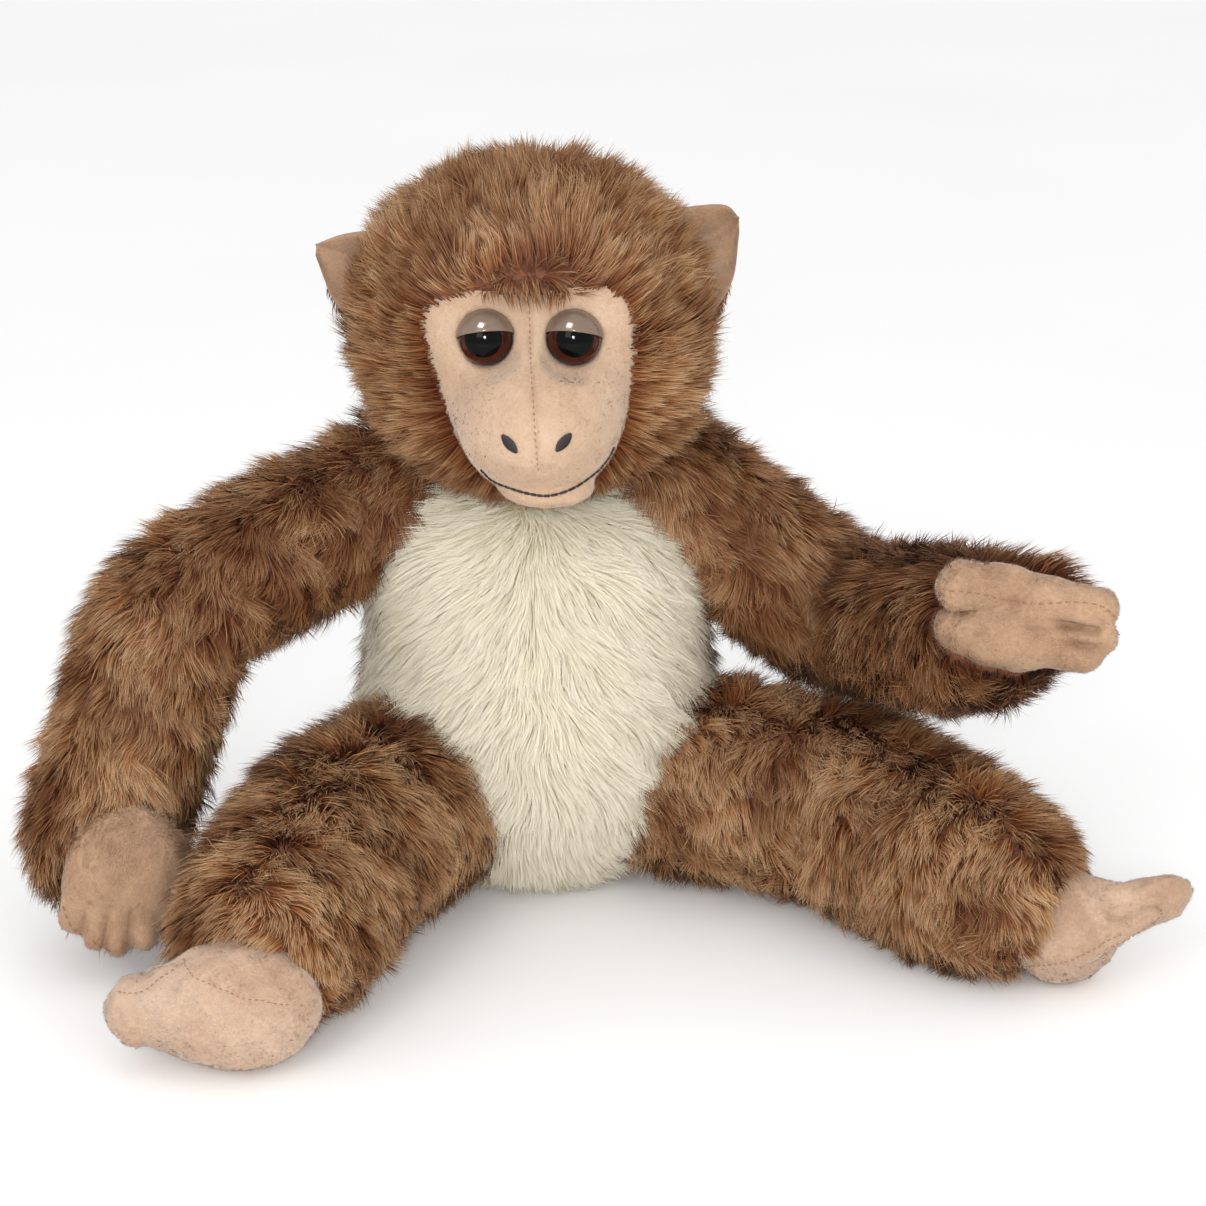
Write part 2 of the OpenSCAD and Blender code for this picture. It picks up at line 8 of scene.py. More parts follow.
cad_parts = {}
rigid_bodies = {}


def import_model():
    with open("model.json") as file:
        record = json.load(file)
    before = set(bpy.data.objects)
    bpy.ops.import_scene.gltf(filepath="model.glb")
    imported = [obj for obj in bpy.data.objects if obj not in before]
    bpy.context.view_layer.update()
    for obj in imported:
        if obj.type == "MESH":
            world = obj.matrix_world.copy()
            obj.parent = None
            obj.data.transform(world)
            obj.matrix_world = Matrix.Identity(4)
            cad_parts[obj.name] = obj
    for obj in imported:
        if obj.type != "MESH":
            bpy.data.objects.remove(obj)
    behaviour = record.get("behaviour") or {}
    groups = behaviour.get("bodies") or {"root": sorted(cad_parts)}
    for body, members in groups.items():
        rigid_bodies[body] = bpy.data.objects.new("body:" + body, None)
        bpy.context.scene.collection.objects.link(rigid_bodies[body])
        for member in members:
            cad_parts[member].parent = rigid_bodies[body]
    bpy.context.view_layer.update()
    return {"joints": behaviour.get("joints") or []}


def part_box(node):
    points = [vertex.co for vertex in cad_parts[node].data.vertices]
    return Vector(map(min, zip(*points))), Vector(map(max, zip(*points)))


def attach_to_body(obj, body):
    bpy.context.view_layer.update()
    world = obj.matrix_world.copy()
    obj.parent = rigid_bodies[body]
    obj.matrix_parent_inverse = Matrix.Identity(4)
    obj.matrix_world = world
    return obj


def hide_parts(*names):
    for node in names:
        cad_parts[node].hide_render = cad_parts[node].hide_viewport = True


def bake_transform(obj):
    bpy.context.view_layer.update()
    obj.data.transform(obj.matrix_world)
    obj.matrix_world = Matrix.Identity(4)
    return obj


for default in list(bpy.data.objects):
    bpy.data.objects.remove(default, do_unlink=True)
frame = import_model()

MM = 1000.0  # millimetres in a metre
TURN = 6.28  # about one full turn, in radians
SIDES = ("right", "left")
FLOOR_CLEARANCE = 0.35  # the lowest any pile reaches above the floor
DENSITY = 1.0  # share of the strands that is drawn
MOST_STRANDS = 39000  # of five faces each, in one mesh
GRID_CHUNK = 200000  # grid points worked out at once
# Size of the grid cells that each part is meshed on, in millimetres
CELL = {"torso": 2.6, "neck": 3.0, "limb": 2.6, "hand": 1.0, "foot": 1.4, "head": 2.4,
        "face": 1.1, "eyelid": 0.32, "filling": 4.0, "small_filling": 2.5}
# Longest pile of each part in millimetres, and its strands per square millimetre
LENGTH = {"belly": 12.5, "back": 13.0, "limb": 13.5, "hand": 12.5, "ear": 5.5, "face": 1.3}
STRANDS = {"belly": 4.2, "back": 2.8, "limb": 3.3, "hand": 3.4, "head": 3.4, "ear": 3.4, "nap": 4.5}
OUTWARD = {"right": -1, "left": 1}  # along X

# ---------- positions read from the frame ----------

JOINT = {j["name"]: np.array(j["pos_m"]) * MM for j in frame["joints"]}


def box_mm(*nodes):
    """Lowest and highest corner of several CAD nodes together, in millimetres."""
    boxes = [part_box(n) for n in nodes]
    low = np.min([np.array(b[0]) for b in boxes], axis=0) * MM
    high = np.max([np.array(b[1]) for b in boxes], axis=0) * MM
    return low, high


def middle(*nodes):
    low, high = box_mm(*nodes)
    return (low + high) / 2


def unit(v):
    v = np.asarray(v, float)
    return v / np.maximum(np.linalg.norm(v, axis=-1, keepdims=True), 1e-9)


# ---------- signed distances, in millimetres ----------


def smooth_min(a, b, k):
    h = np.clip(0.5 + 0.5 * (b - a) / k, 0, 1)
    return b + (a - b) * h - k * h * (1 - h)


def smooth_max(a, b, k):
    return -smooth_min(-a, -b, k)


def grown(f, *parts):
    """A shape with more shapes run into it, each with its own width of blend."""
    for part, blend in parts:
        f = smooth_min(f, part, blend)
    return f


def sphere(p, centre, radius):
    return np.linalg.norm(p - centre, axis=1) - radius


def ellipsoid(p, centre, radii):
    q = p - centre
    k0 = np.linalg.norm(q / radii, axis=1)
    k1 = np.linalg.norm(q / (np.asarray(radii) ** 2), axis=1)
    return k0 * (k0 - 1) / np.maximum(k1, 1e-9)


def capsule(p, a, b, ra, rb):
    d = np.asarray(b, float) - a
    t = np.clip((p - a) @ d / (d @ d), 0, 1)
    return np.linalg.norm(p - (a + t[:, None] * d), axis=1) - (ra + (rb - ra) * t)


def tube(p, points, radii, k=5.0):
    out = None
    for a, b, ra, rb in zip(points, points[1:], radii, radii[1:]):
        d = capsule(p, a, b, ra, rb)
        out = d if out is None else smooth_min(out, d, k)
    return out


def gradient(f, p, step=0.2):
    g = np.empty_like(p)
    for i in range(3):
        e = np.zeros(3)
        e[i] = step
        g[:, i] = (f(p + e) - f(p - e)) / (2 * step)
    return g


RNG = np.random.default_rng(11)
WAVES = [
    (unit(RNG.normal(size=(6, 3))), RNG.random(6) * TURN, RNG.normal(size=(6, 3)))
    for _ in range(2)
]


def drift(p, wavelength, which=0):
    """Smooth random vector field."""
    directions, phases, vectors = WAVES[which]
    out = np.zeros_like(p)
    for i, (d, phase, v) in enumerate(zip(directions, phases, vectors)):
        k = TURN / (wavelength * (0.7 + 0.12 * i))
        out += np.sin(p @ d * k + phase)[:, None] * v
    return out * 0.4


def curve_through(points, count):
    """Catmull-Rom curve through the points, evenly sampled by parameter."""
    pts = np.asarray(points, float)
    ext = np.vstack([2 * pts[0] - pts[1], pts, 2 * pts[-1] - pts[-2]])
    out = []
    for s in np.linspace(0, len(pts) - 1, count):
        i = min(int(s), len(pts) - 2)
        t = s - i
        p0, p1, p2, p3 = ext[i : i + 4]
        square, cube = 2 * p0 - 5 * p1 + 4 * p2 - p3, 3 * p1 - p0 - 3 * p2 + p3
        out.append(0.5 * (2 * p1 + (p2 - p0) * t + square * t * t + cube * t**3))
    return np.array(out)


def surface(f, low, high, cell):
    """Vertices and quads of the surface f = 0, its normals pointing to positive f."""
    low, high = np.asarray(low, float), np.asarray(high, float)
    n = np.maximum(((high - low) / cell).astype(int) + 2, 3)
    axes = [low[i] + cell * np.arange(n[i]) for i in range(3)]
    grid = np.stack(np.meshgrid(*axes, indexing="ij"), -1).reshape(-1, 3)
    chunks = np.array_split(grid, len(grid) // GRID_CHUNK + 1)
    v = np.concatenate([f(chunk) for chunk in chunks]).reshape(n)
    m = n - 1
    steps = np.eye(3, dtype=int)

    def values_at(offset):
        return v[tuple(slice(o, o + k) for o, k in zip(offset, m))]

    total = np.zeros((*m, 3))
    hits = np.zeros(m)
    corner = np.stack(np.meshgrid(*[np.arange(k) for k in m], indexing="ij"), -1)
    for axis in range(3):
        for shift in ((0, 0), (0, 1), (1, 0), (1, 1)):
            offset = np.insert(shift, axis, 0)
            a, b = values_at(offset), values_at(offset + steps[axis])
            cross = (a < 0) != (b < 0)
            t = np.where(cross, a / np.where(cross, a - b, 1), 0)
            point = corner + offset + t[..., None] * steps[axis]
            total += np.where(cross[..., None], point, 0)
            hits += cross
    used = hits > 0
    index = -np.ones(m, int)
    index[used] = np.arange(used.sum())
    verts = low + cell * total[used] / hits[used][:, None]
    quads = []
    for axis in range(3):
        a1, a2 = steps[(axis + 1) % 3], steps[(axis + 2) % 3]
        inner = [slice(1, k) for k in m]
        inner[axis] = slice(0, m[axis])
        inside0 = v[tuple(inner)] < 0
        inner[axis] = slice(1, m[axis] + 1)
        inside1 = v[tuple(inner)] < 0
        for order, where in ((1, inside0 & ~inside1), (-1, ~inside0 & inside1)):
            base = np.argwhere(where) + 1 - steps[axis]
            around = [base, base - a1, base - a1 - a2, base - a2]
            quads.append(np.stack([index[tuple(c.T)] for c in around], 1)[:, ::order])
    quads = np.concatenate(quads)
    for _ in range(3):
        g = gradient(f, verts)
        verts -= g * (f(verts) / np.maximum((g * g).sum(1), 1e-6))[:, None] * 0.8
    return verts, quads


# ---------- meshes ----------


def new_mesh(name, verts, faces, material):
    mesh = bpy.data.meshes.new(name)
    faces = np.asarray(faces)
    mesh.vertices.add(len(verts))
    mesh.vertices.foreach_set("co", (np.asarray(verts) / MM).astype(np.float32).ravel())
    mesh.loops.add(faces.size)
    mesh.loops.foreach_set("vertex_index", faces.astype(np.int32).ravel())
    mesh.polygons.add(len(faces))
    starts = np.arange(len(faces), dtype=np.int32) * faces.shape[1]
    mesh.polygons.foreach_set("loop_start", starts)
    mesh.update(calc_edges=True)
    mesh.validate()
    mesh.polygons.foreach_set("use_smooth", np.ones(len(mesh.polygons), bool))
    obj = bpy.data.objects.new(name, mesh)
    bpy.context.scene.collection.objects.link(obj)
    mesh.materials.append(material)
    return obj


def grid_quads(ids):
    """Faces between the neighbours in a grid of vertex numbers."""
    return np.stack([ids[:-1, :-1], ids[:-1, 1:], ids[1:, 1:], ids[1:, :-1]], -1).reshape(-1, 4)


def ring_quads(rings, count):
    """Faces between rings of vertices that each close on themselves."""
    ids = np.arange(rings * count).reshape(rings, count)
    return grid_quads(np.hstack([ids, ids[:, :1]]))


def keep_faces(verts, quads, mask):
    """The part of a mesh whose faces are in the mask, with unused vertices dropped."""
    faces = quads[mask]
    used = np.unique(faces)
    renumber = np.zeros(len(verts), int)
    renumber[used] = np.arange(len(used))
    return verts[used], renumber[faces]


# ---------- the toy's shapes ----------

NECK = JOINT["neck_turn"]
HEAD = middle("crown_panel", "right_head_panel", "left_head_panel") + [0, -2, 0]
EYE_Z = middle("right_eyeball", "left_eyeball")[2] - 1.3
EYE_Y = box_mm("right_eyelid")[0][1] + 8.0
EYE_SPREAD = (middle("left_eyeball")[0] - middle("right_eyeball")[0]) / 2
EYES = {
    "right": np.array([NECK[0] - EYE_SPREAD, EYE_Y, EYE_Z]),
    "left": np.array([NECK[0] + EYE_SPREAD, EYE_Y, EYE_Z]),
}
EYE_RADIUS = 7.4
SNOUT = np.array([2.5, EYE_Y + 4.0, EYE_Z - 25.6])


def torso_shape(p):
    lower = ellipsoid(p, [0, -2, 54], [48, 48, 58])
    upper = ellipsoid(p, [0, -3, 97], [46, 38, 35])
    body = smooth_min(lower, upper, 14)
    return smooth_max(body, 2.5 - p[:, 2], 5)


def skull_shape(p):
    dome = ellipsoid(p, HEAD + [-0.5, 0, 0.5], [45, 44, 40.5])
    jaw = ellipsoid(p, HEAD + [2, -6, -18], [36.5, 35, 26])
    return smooth_min(dome, jaw, 12)


BROWS = [([x, EYE_Y + 15, EYE_Z + 4], [14, 14.5, 14]) for x in (-18, 18)]
CHEEKS = [([x, EYE_Y + 13, EYE_Z - 12], [11, 13, 13]) for x in (-13.2, 15.6)]
MUZZLE = (SNOUT + [0, -2, 2], [22.6, 24.5, 21])


def brow_shape(p):
    return smooth_min(ellipsoid(p, *BROWS[0]), ellipsoid(p, *BROWS[1]), 5)


def backing_shape(p):
    """The skull with the brows, just inside the face fabric."""
    return smooth_min(skull_shape(p), brow_shape(p) + 0.9, 6)


def face_shape(p):
    """Short-pile face: flat eye plane joined to a blunt snout with a small lower lip."""
    plane = ellipsoid(p, HEAD + [0, -2, 2], [45.5, 42.0, 41])
    plane = smooth_min(plane, skull_shape(p) + 0.9, 2)
    bridge = capsule(p, [0.5, EYE_Y + 11, EYE_Z - 8], SNOUT + [0, -9, 4], 12, 14.5)
    nose = ellipsoid(p, SNOUT + [0.3, -21, 2], [11, 6, 6])
    lip = ellipsoid(p, SNOUT + [2.2, -9.5, -15.3], [12.8, 12.4, 4.4])
    cheeks = [(ellipsoid(p, *cheek), 6) for cheek in CHEEKS]
    f = grown(plane, (brow_shape(p), 6), *cheeks, (bridge, 9), (ellipsoid(p, *MUZZLE), 8),
              (nose, 6), (lip, 3.0))
    seam = SNOUT[0] + (p[:, 2] - SNOUT[2]) * -0.09
    upper = np.clip((p[:, 2] - SNOUT[2] + 8) / 4, 0, 1)
    f = f + 0.9 * np.exp(-(((p[:, 0] - seam) / 1.0) ** 2)) * upper
    for eye in EYES.values():
        f = smooth_max(f, -sphere(p, eye + [0, -9.2, 0.2], 9.8), 2.2)
        f = smooth_max(f, -sphere(p, eye, EYE_RADIUS + 0.35), 1.0)
    return f


def onto_face(p, lift):
    """Moves points along Y until they lie a set distance outside the face."""
    p = np.array(p, float)
    for _ in range(14):
        g = gradient(face_shape, p)
        p[:, 1] -= (face_shape(p) - lift) / np.where(np.abs(g[:, 1]) < 0.3, -0.3, g[:, 1]) * 0.7
    return p


# Mouth from its right corner to its left, across and up from the snout's middle
MOUTH = [[-15.8, -8.2], [-12.6, -11.4], [-7.7, -12.6], [-2.3, -13.6], [3.1, -13.9],
         [9.9, -12.5], [15.2, -9.6], [18.4, -6.6], [20.4, -3.2]]


def mouth_line(count=60):
    """Points along the mouth between the snout and the lower lip, on the face surface."""
    flat = [[SNOUT[0] + x, SNOUT[1] - 23, SNOUT[2] + z] for x, z in MOUTH]
    return onto_face(curve_through(flat, count), 0.0)


# Outline of the face opening seen from the front, across and up from between the eyes
OUTLINE = [[-25.5, 6.5], [-18.5, 10], [-8, 11], [0, 11], [9, 11.5], [18.5, 11], [24, 8],
           [26.2, 3.5], [26.4, -3], [25.6, -13], [24, -24], [22.6, -31], [19.5, -38.5], [12, -43],
           [2, -44.5], [-8, -43], [-14.5, -38], [-18.5, -31.5], [-20.4, -24], [-23.6, -13],
           [-26.4, -3], [-27, 3], [-25.5, 6.5]]
WINDOW = curve_through([[x, EYE_Z + z, 0] for x, z in OUTLINE], 120)[:, :2]


def window_distance(p):
    """Signed distance to the face opening as seen from the front, negative inside."""
    q = p[:, [0, 2]]
    best = np.full(len(q), 1e9)
    inside = np.zeros(len(q), bool)
    for a, b in zip(WINDOW, WINDOW[1:]):
        d = b - a
        t = np.clip((q - a) @ d / (d @ d), 0, 1)
        best = np.minimum(best, np.linalg.norm(q - (a + t[:, None] * d), axis=1))
        over = (a[1] > q[:, 1]) != (b[1] > q[:, 1])
        slope = np.where(over, d[0] / (d[1] if abs(d[1]) > 1e-9 else 1e-9), 0)
        inside ^= over & (q[:, 0] < a[0] + (q[:, 1] - a[1]) * slope)
    return np.where(inside, -best, best)


LIMB_STEPS = 19


def limb_points(side, joints, before, after, rise=0.0):
    """A limb's path through its three joints, run on past the first and the last."""
    first, second, third = (JOINT[f"{side}_{name}"] for name in joints)
    start = first + unit(first - second) * before
    end = third + unit(third - second) * after
    upper_mid = (first + second) / 2 + [0, 0, rise]
    return curve_through(
        [start, first, upper_mid, second, (second + third) / 2, third, end], LIMB_STEPS
    )


ARM_JOINTS = ("shoulder_raise", "elbow_bend", "wrist_bend")
LEG_JOINTS = ("hip_swing", "knee_lift", "ankle_tip")
ARM_RISE = {"right": 3, "left": -1}  # how far each upper arm bows upward
ARM = {s: limb_points(s, ARM_JOINTS, 10, 6, ARM_RISE[s]) for s in SIDES}
LEG = {s: limb_points(s, LEG_JOINTS, 8, 7) for s in SIDES}
ARM_RADII, LEG_RADII = (
    np.interp(np.linspace(0, 1, LIMB_STEPS), [0, 0.2, 0.5, 0.8, 1], radii)
    for radii in ([15, 16.5, 16.5, 17, 13], [21, 23, 23, 21.5, 17])
)


def arm_shape(side):
    return lambda p: tube(p, ARM[side], ARM_RADII)


def leg_shape(side):
    return lambda p: smooth_max(tube(p, LEG[side], LEG_RADII), 2.2 - p[:, 2], 6)


def wrinkles(p, depth, wavelength):
    return depth * drift(p, wavelength, 1)[:, 0]


def crease(f, q, start, end, depth, width):
    """Presses a soft fold into the front of a hand along a line seen from the front."""
    a, b = np.array(start), np.array(end)
    d = b - a
    t = np.clip((q[:, :2] - a) @ d / (d @ d), 0, 1)
    away = np.linalg.norm(q[:, :2] - (a + t[:, None] * d), axis=1)
    return f + depth * np.exp(-((away / width) ** 2)) * np.clip(q[:, 2] / 2, 0, 1)


def right_hand_form(q):
    """Palm and four hanging fingers: q is along the hand, across it and out of the palm."""
    f = grown(ellipsoid(q, [-4, 1, 0], [20, 18.0, 11]),
              (ellipsoid(q, [-7, 9, 2.5], [12, 8, 9]), 3))
    for spread, reach in ((-10.5, 10.5), (-3.9, 14.0), (2.8, 14.5), (9.3, 11.5)):
        finger = capsule(q, [-2, spread * 0.85, 1.5], [reach, spread, 2.8], 6.2, 4.8)
        f = smooth_min(f, finger, 1.3)
    for across in (-7.2, -0.6, 6.0):
        f = crease(f, q, [4.5, across * 0.9], [20, across * 1.05], 1.0, 1.0)
    return smooth_min(f, capsule(q, [-6, 14, 0], [4, 19, 0], 7, 6), 1.5)


def left_hand_form(q):
    """Half-closed hand: thumb folded along the top, fingers curled at the far end."""
    f = grown(
        ellipsoid(q, [-4, -4.0, 0], [20.5, 11.2, 11.5]),
        (ellipsoid(q, [0, 0, -5], [19, 12, 8]), 4),
        (capsule(q, [-17.5, 8.5, 4], [-4, 8.5, 1], 7.6, 6.6), 1.0),
        (capsule(q, [1, 6.5, 1.5], [20, 4.8, 2.5], 6.8, 6.0), 1.0),
        (capsule(q, [6, -1, 1.5], [21.5, -3.4, 2.5], 5.4, 4.6), 1.0),
        (capsule(q, [4, -7.0, 0], [17.5, -8.6, 1.5], 6.2, 5.4), 1.0),
    )
    f = crease(f, q, [2.0, 0.6], [20, -0.8], 1.9, 1.5)
    f = crease(f, q, [9, -4.2], [20, -5.4], 1.4, 1.3)
    f = crease(f, q, [-18, 1.8], [-7, 3.0], 0.9, 1.6)
    return crease(f, q, [1.5, 11.5], [-3.0, 4.0], 1.6, 1.5)


def hand_shape(side):
    """Signed distance of a hand, its axes and its centre."""
    wrist = JOINT[side + "_wrist_bend"]
    if side == "right":
        along = unit([-0.2, -0.22, -0.95])
        across = unit(np.cross([0.05, -1.0, 0.25], along))
        centre = wrist + [6.5, -20, -10.5]
        form = right_hand_form
    else:
        along = unit([0.985, -0.12, -0.03])
        across = unit([0.05, 0.12, 1.0])
        centre = wrist + [11, -13, 9]
        form = left_hand_form
    facing = unit(np.cross(along, across))
    frame_axes = np.stack([along, np.cross(facing, along), facing])

    def shape(p):
        f = form((p - centre) @ frame_axes.T)
        f = smooth_min(f, capsule(p, wrist, centre - facing * 3, 11.0, 9.0), 5)
        f = f + wrinkles(p, 0.35, 9.0)
        return smooth_max(f, 0.7 - p[:, 2], 2)

    return shape, frame_axes, centre


def foot_ends(side):
    """Ankle, middle of the heel part and the tip of the toes."""
    ankle = JOINT[side + "_ankle_tip"]
    if side == "right":
        return ankle, ankle + [-6.0, -25, -8.2], ankle + [-32, -27, -8.5]
    return ankle, ankle + [19.5, -10.5, -8.6], ankle + [48.5, -14, 1.6]


def foot_shape(side):
    ankle, heel, toes = foot_ends(side)

    def shape(p):
        if side == "right":
            f = grown(
                ellipsoid(p, heel, [22.0, 16.5, 17.4]),
                (capsule(p, heel + [-8, -2, 1], toes, 13.0, 9.6), 6),
                (capsule(p, heel + [-6, -8.5, 6], toes + [2, -3, 4.5], 6.4, 4.6), 1.2),
                (capsule(p, heel + [-4, -7, -6], toes + [6, -3, -5], 7.0, 4.4), 1.2),
            )
        else:
            q = heel + (p - heel) * [1, 1.45, 1]
            flap_root, flap_middle = heel + [6, 0, 1], (heel + toes) / 2 + [0, 0, -0.5]
            f = grown(
                ellipsoid(p, heel, [16, 14.5, 16.4]),
                (capsule(q, flap_root, flap_middle, 9.5, 8.4) / 1.3, 3),
                (capsule(q, flap_middle, toes, 8.4, 6.6) / 1.3, 2),
                (capsule(p, heel + [2, -12, -3.5], toes + [-5, -4.5, -2.5], 3.6, 2.4), 1.0),
            )
        f = smooth_min(f, capsule(p, ankle, heel, 15, 13), 6)
        f = f + wrinkles(p, 0.45, 8.0)
        return smooth_max(f, 0.7 - p[:, 2], 3)

    return shape


def lay_on(shape, points, direction, lift):
    """Moves points along a direction until they lie a set distance outside a shape."""
    p = np.array(points, float)
    step = unit(np.array(direction, float))
    for _ in range(40):
        p += step * np.clip(shape(p) - lift, -1.5, 1.5)[:, None] * 0.8
    return p


# ---------- materials ----------


def new_material(name):
    material = bpy.data.materials.new(name)
    material.use_nodes = True
    nodes, links = material.node_tree.nodes, material.node_tree.links
    shader = nodes["Principled BSDF"]
    return material, nodes, links, shader


def linear(r, g, b):
    """Linear colour from 8-bit sRGB values."""
    c = np.array([r, g, b]) / 255
    out = np.where(c <= 0.04045, c / 12.92, ((c + 0.055) / 1.055) ** 2.4)
    return (*out.tolist(), 1.0)


def set_inputs(node, **values):
    """Sets a node's inputs; an underscore stands for the space in an input's name."""
    for key, value in values.items():
        node.inputs[key.replace("_", " ")].default_value = value


def add(nodes, kind, **values):
    node = nodes.new(kind)
    set_inputs(node, **values)
    return node


def ramp(nodes, stops):
    """Colour ramp through stops of a place from 0 to 1 and a linear colour."""
    node = nodes.new("ShaderNodeValToRGB")
    elements = node.color_ramp.elements
    while len(elements) < len(stops):
        elements.new(0.5)
    for element, (place, colour) in zip(elements, stops):
        element.position = place
        element.color = colour
    return node


def pile_material(name, places, dark_tones, light_tones):
    """Pile colour from root to tip (UV v), between two strand tones (UV u)."""
    material, nodes, links, shader = new_material(name)
    uv = nodes.new("ShaderNodeUVMap")
    uv.uv_map = "OFBake"
    split = nodes.new("ShaderNodeSeparateXYZ")
    links.new(uv.outputs["UV"], split.inputs["Vector"])
    ramps = [ramp(nodes, [(place, linear(*tone)) for place, tone in zip(places, tones)])
             for tones in (dark_tones, light_tones)]
    mix = nodes.new("ShaderNodeMix")
    mix.data_type = "RGBA"
    links.new(split.outputs["X"], mix.inputs["Factor"])
    for tones, socket in zip(ramps, (6, 7)):
        links.new(split.outputs["Y"], tones.inputs["Fac"])
        links.new(tones.outputs["Color"], mix.inputs[socket])
    links.new(mix.outputs[2], shader.inputs["Base Color"])
    set_inputs(shader, Roughness=0.62, Specular_IOR_Level=0.12, Sheen_Weight=0.03)
    return material


def velour_material(name, light, dark):
    """Short-pile fabric: soft mottling and a fine nap."""
    material, nodes, links, shader = new_material(name)
    coords = nodes.new("ShaderNodeTexCoord")
    broad = add(nodes, "ShaderNodeTexNoise", Scale=55.0, Detail=3.0, Roughness=0.55)
    fine = add(nodes, "ShaderNodeTexNoise", Scale=900.0, Detail=3.0, Roughness=0.7)
    for n in (broad, fine):
        links.new(coords.outputs["Object"], n.inputs["Vector"])
    blend = nodes.new("ShaderNodeMix")
    blend.inputs["Factor"].default_value = 0.35
    links.new(broad.outputs["Fac"], blend.inputs[2])
    links.new(fine.outputs["Fac"], blend.inputs[3])
    colour = ramp(nodes, [(0.32, linear(*dark)), (0.68, linear(*light))])
    links.new(blend.outputs[0], colour.inputs["Fac"])
    links.new(colour.outputs["Color"], shader.inputs["Base Color"])
    bump = add(nodes, "ShaderNodeBump", Strength=0.35, Distance=0.0006)
    links.new(fine.outputs["Fac"], bump.inputs["Height"])
    links.new(bump.outputs["Normal"], shader.inputs["Normal"])
    set_inputs(shader, Roughness=0.85, Sheen_Weight=0.35, Sheen_Roughness=0.4)
    return material


def plain_material(name, colour, roughness, scale=300.0, depth=0.12, specular=0.5):
    """Smooth moulded or sewn material whose tone varies by a share called depth."""
    material, nodes, links, shader = new_material(name)
    coords = nodes.new("ShaderNodeTexCoord")
    noise = add(nodes, "ShaderNodeTexNoise", Scale=scale, Detail=2.0)
    links.new(coords.outputs["Object"], noise.inputs["Vector"])
    darker, lighter = ([min(c * share, 1) for c in linear(*colour)[:3]] + [1.0]
                       for share in (1 - depth, 1 + depth))
    tones = ramp(nodes, [(0.35, darker), (0.65, lighter)])
    links.new(noise.outputs["Fac"], tones.inputs["Fac"])
    links.new(tones.outputs["Color"], shader.inputs["Base Color"])
    set_inputs(shader, Roughness=roughness, Specular_IOR_Level=specular)
    return material


BROWN_PILE = pile_material(
    "brown_pile", (0.0, 0.3, 0.62, 0.85, 1.0),
    [(74, 30, 10), (86, 40, 16), (98, 54, 26), (121, 78, 44), (150, 108, 72)],
    [(112, 56, 22), (139, 82, 42), (159, 109, 67), (194, 155, 114), (221, 196, 162)],
)
CREAM_PILE = pile_material(
    "cream_pile", (0.0, 0.35, 0.75, 1.0),
    [(214, 200, 170), (226, 215, 187), (232, 223, 200), (236, 229, 211)],
    [(220, 208, 178), (230, 221, 195), (237, 229, 208), (241, 235, 219)],
)
NAP_PLACES = (0.0, 0.6, 1.0)
PEACH_PILE = pile_material(
    "peach_pile", NAP_PLACES,
    [(172, 140, 114), (188, 158, 132), (198, 170, 146)],
    [(184, 154, 128), (202, 176, 150), (214, 192, 168)],
)
# Nap of the hands, darker than the face's by painted shade
SHADE_PAINTED_HAND_PILE = pile_material(
    "shade_painted_hand_pile", NAP_PLACES,
    [(132, 92, 62), (154, 116, 84), (170, 134, 102)],
    [(166, 130, 100), (188, 156, 126), (202, 174, 146)],
)
SOLE_PILE = pile_material(
    "sole_pile", NAP_PLACES,
    [(150, 122, 102), (172, 146, 126), (186, 162, 144)],
    [(182, 158, 138), (204, 184, 166), (216, 200, 184)],
)
FOOT_PILE = pile_material(
    "foot_pile", NAP_PLACES,
    [(150, 110, 80), (168, 130, 98), (182, 146, 116)],
    [(172, 138, 108), (190, 158, 128), (204, 176, 148)],
)
BROWN_BACKING = plain_material("brown_backing", (112, 64, 34), 0.95, scale=700.0, depth=0.3)
CREAM_BACKING = plain_material("cream_backing", (214, 198, 158), 0.95, scale=700.0)
VELOUR = velour_material("velour", (200, 172, 146), (172, 138, 110))
# Velour of the hands and the ear fronts; its dark brown mottles are painted shade of creases and
# folds
SHADE_PAINTED_HAND_VELOUR = velour_material("shade_painted_hand_velour", (184, 150, 120), (130, 92, 62))
FOOT_VELOUR = velour_material("foot_velour", (196, 168, 144), (158, 124, 98))
FIBRE = plain_material("fibre_filling", (236, 236, 232), 0.95, scale=900.0)
PEACH_THREAD = plain_material("peach_thread", (150, 104, 76), 0.7, scale=2500.0, depth=0.2)


# ---------- placing pieces ----------


def attach(obj, body, nodes=()):
    """Makes a piece ride on one body; given more than one, it only bakes the piece's place into its
    mesh.
    """
    if isinstance(body, str):
        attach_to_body(obj, body)
    else:
        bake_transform(obj)
    if nodes:
        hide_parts(*nodes)
    return obj


# ---------- pile ----------


def face_normals(verts, quads):
    """Normal of each face, as long as twice its area."""
    a, b, c, d = (verts[quads[:, i]] for i in range(4))
    return np.cross(c - a, d - b)


def vertex_normals(verts, quads):
    face = face_normals(verts, quads)
    out = np.zeros_like(verts)
    for i in range(4):
        np.add.at(out, quads[:, i], face)
    return unit(out)


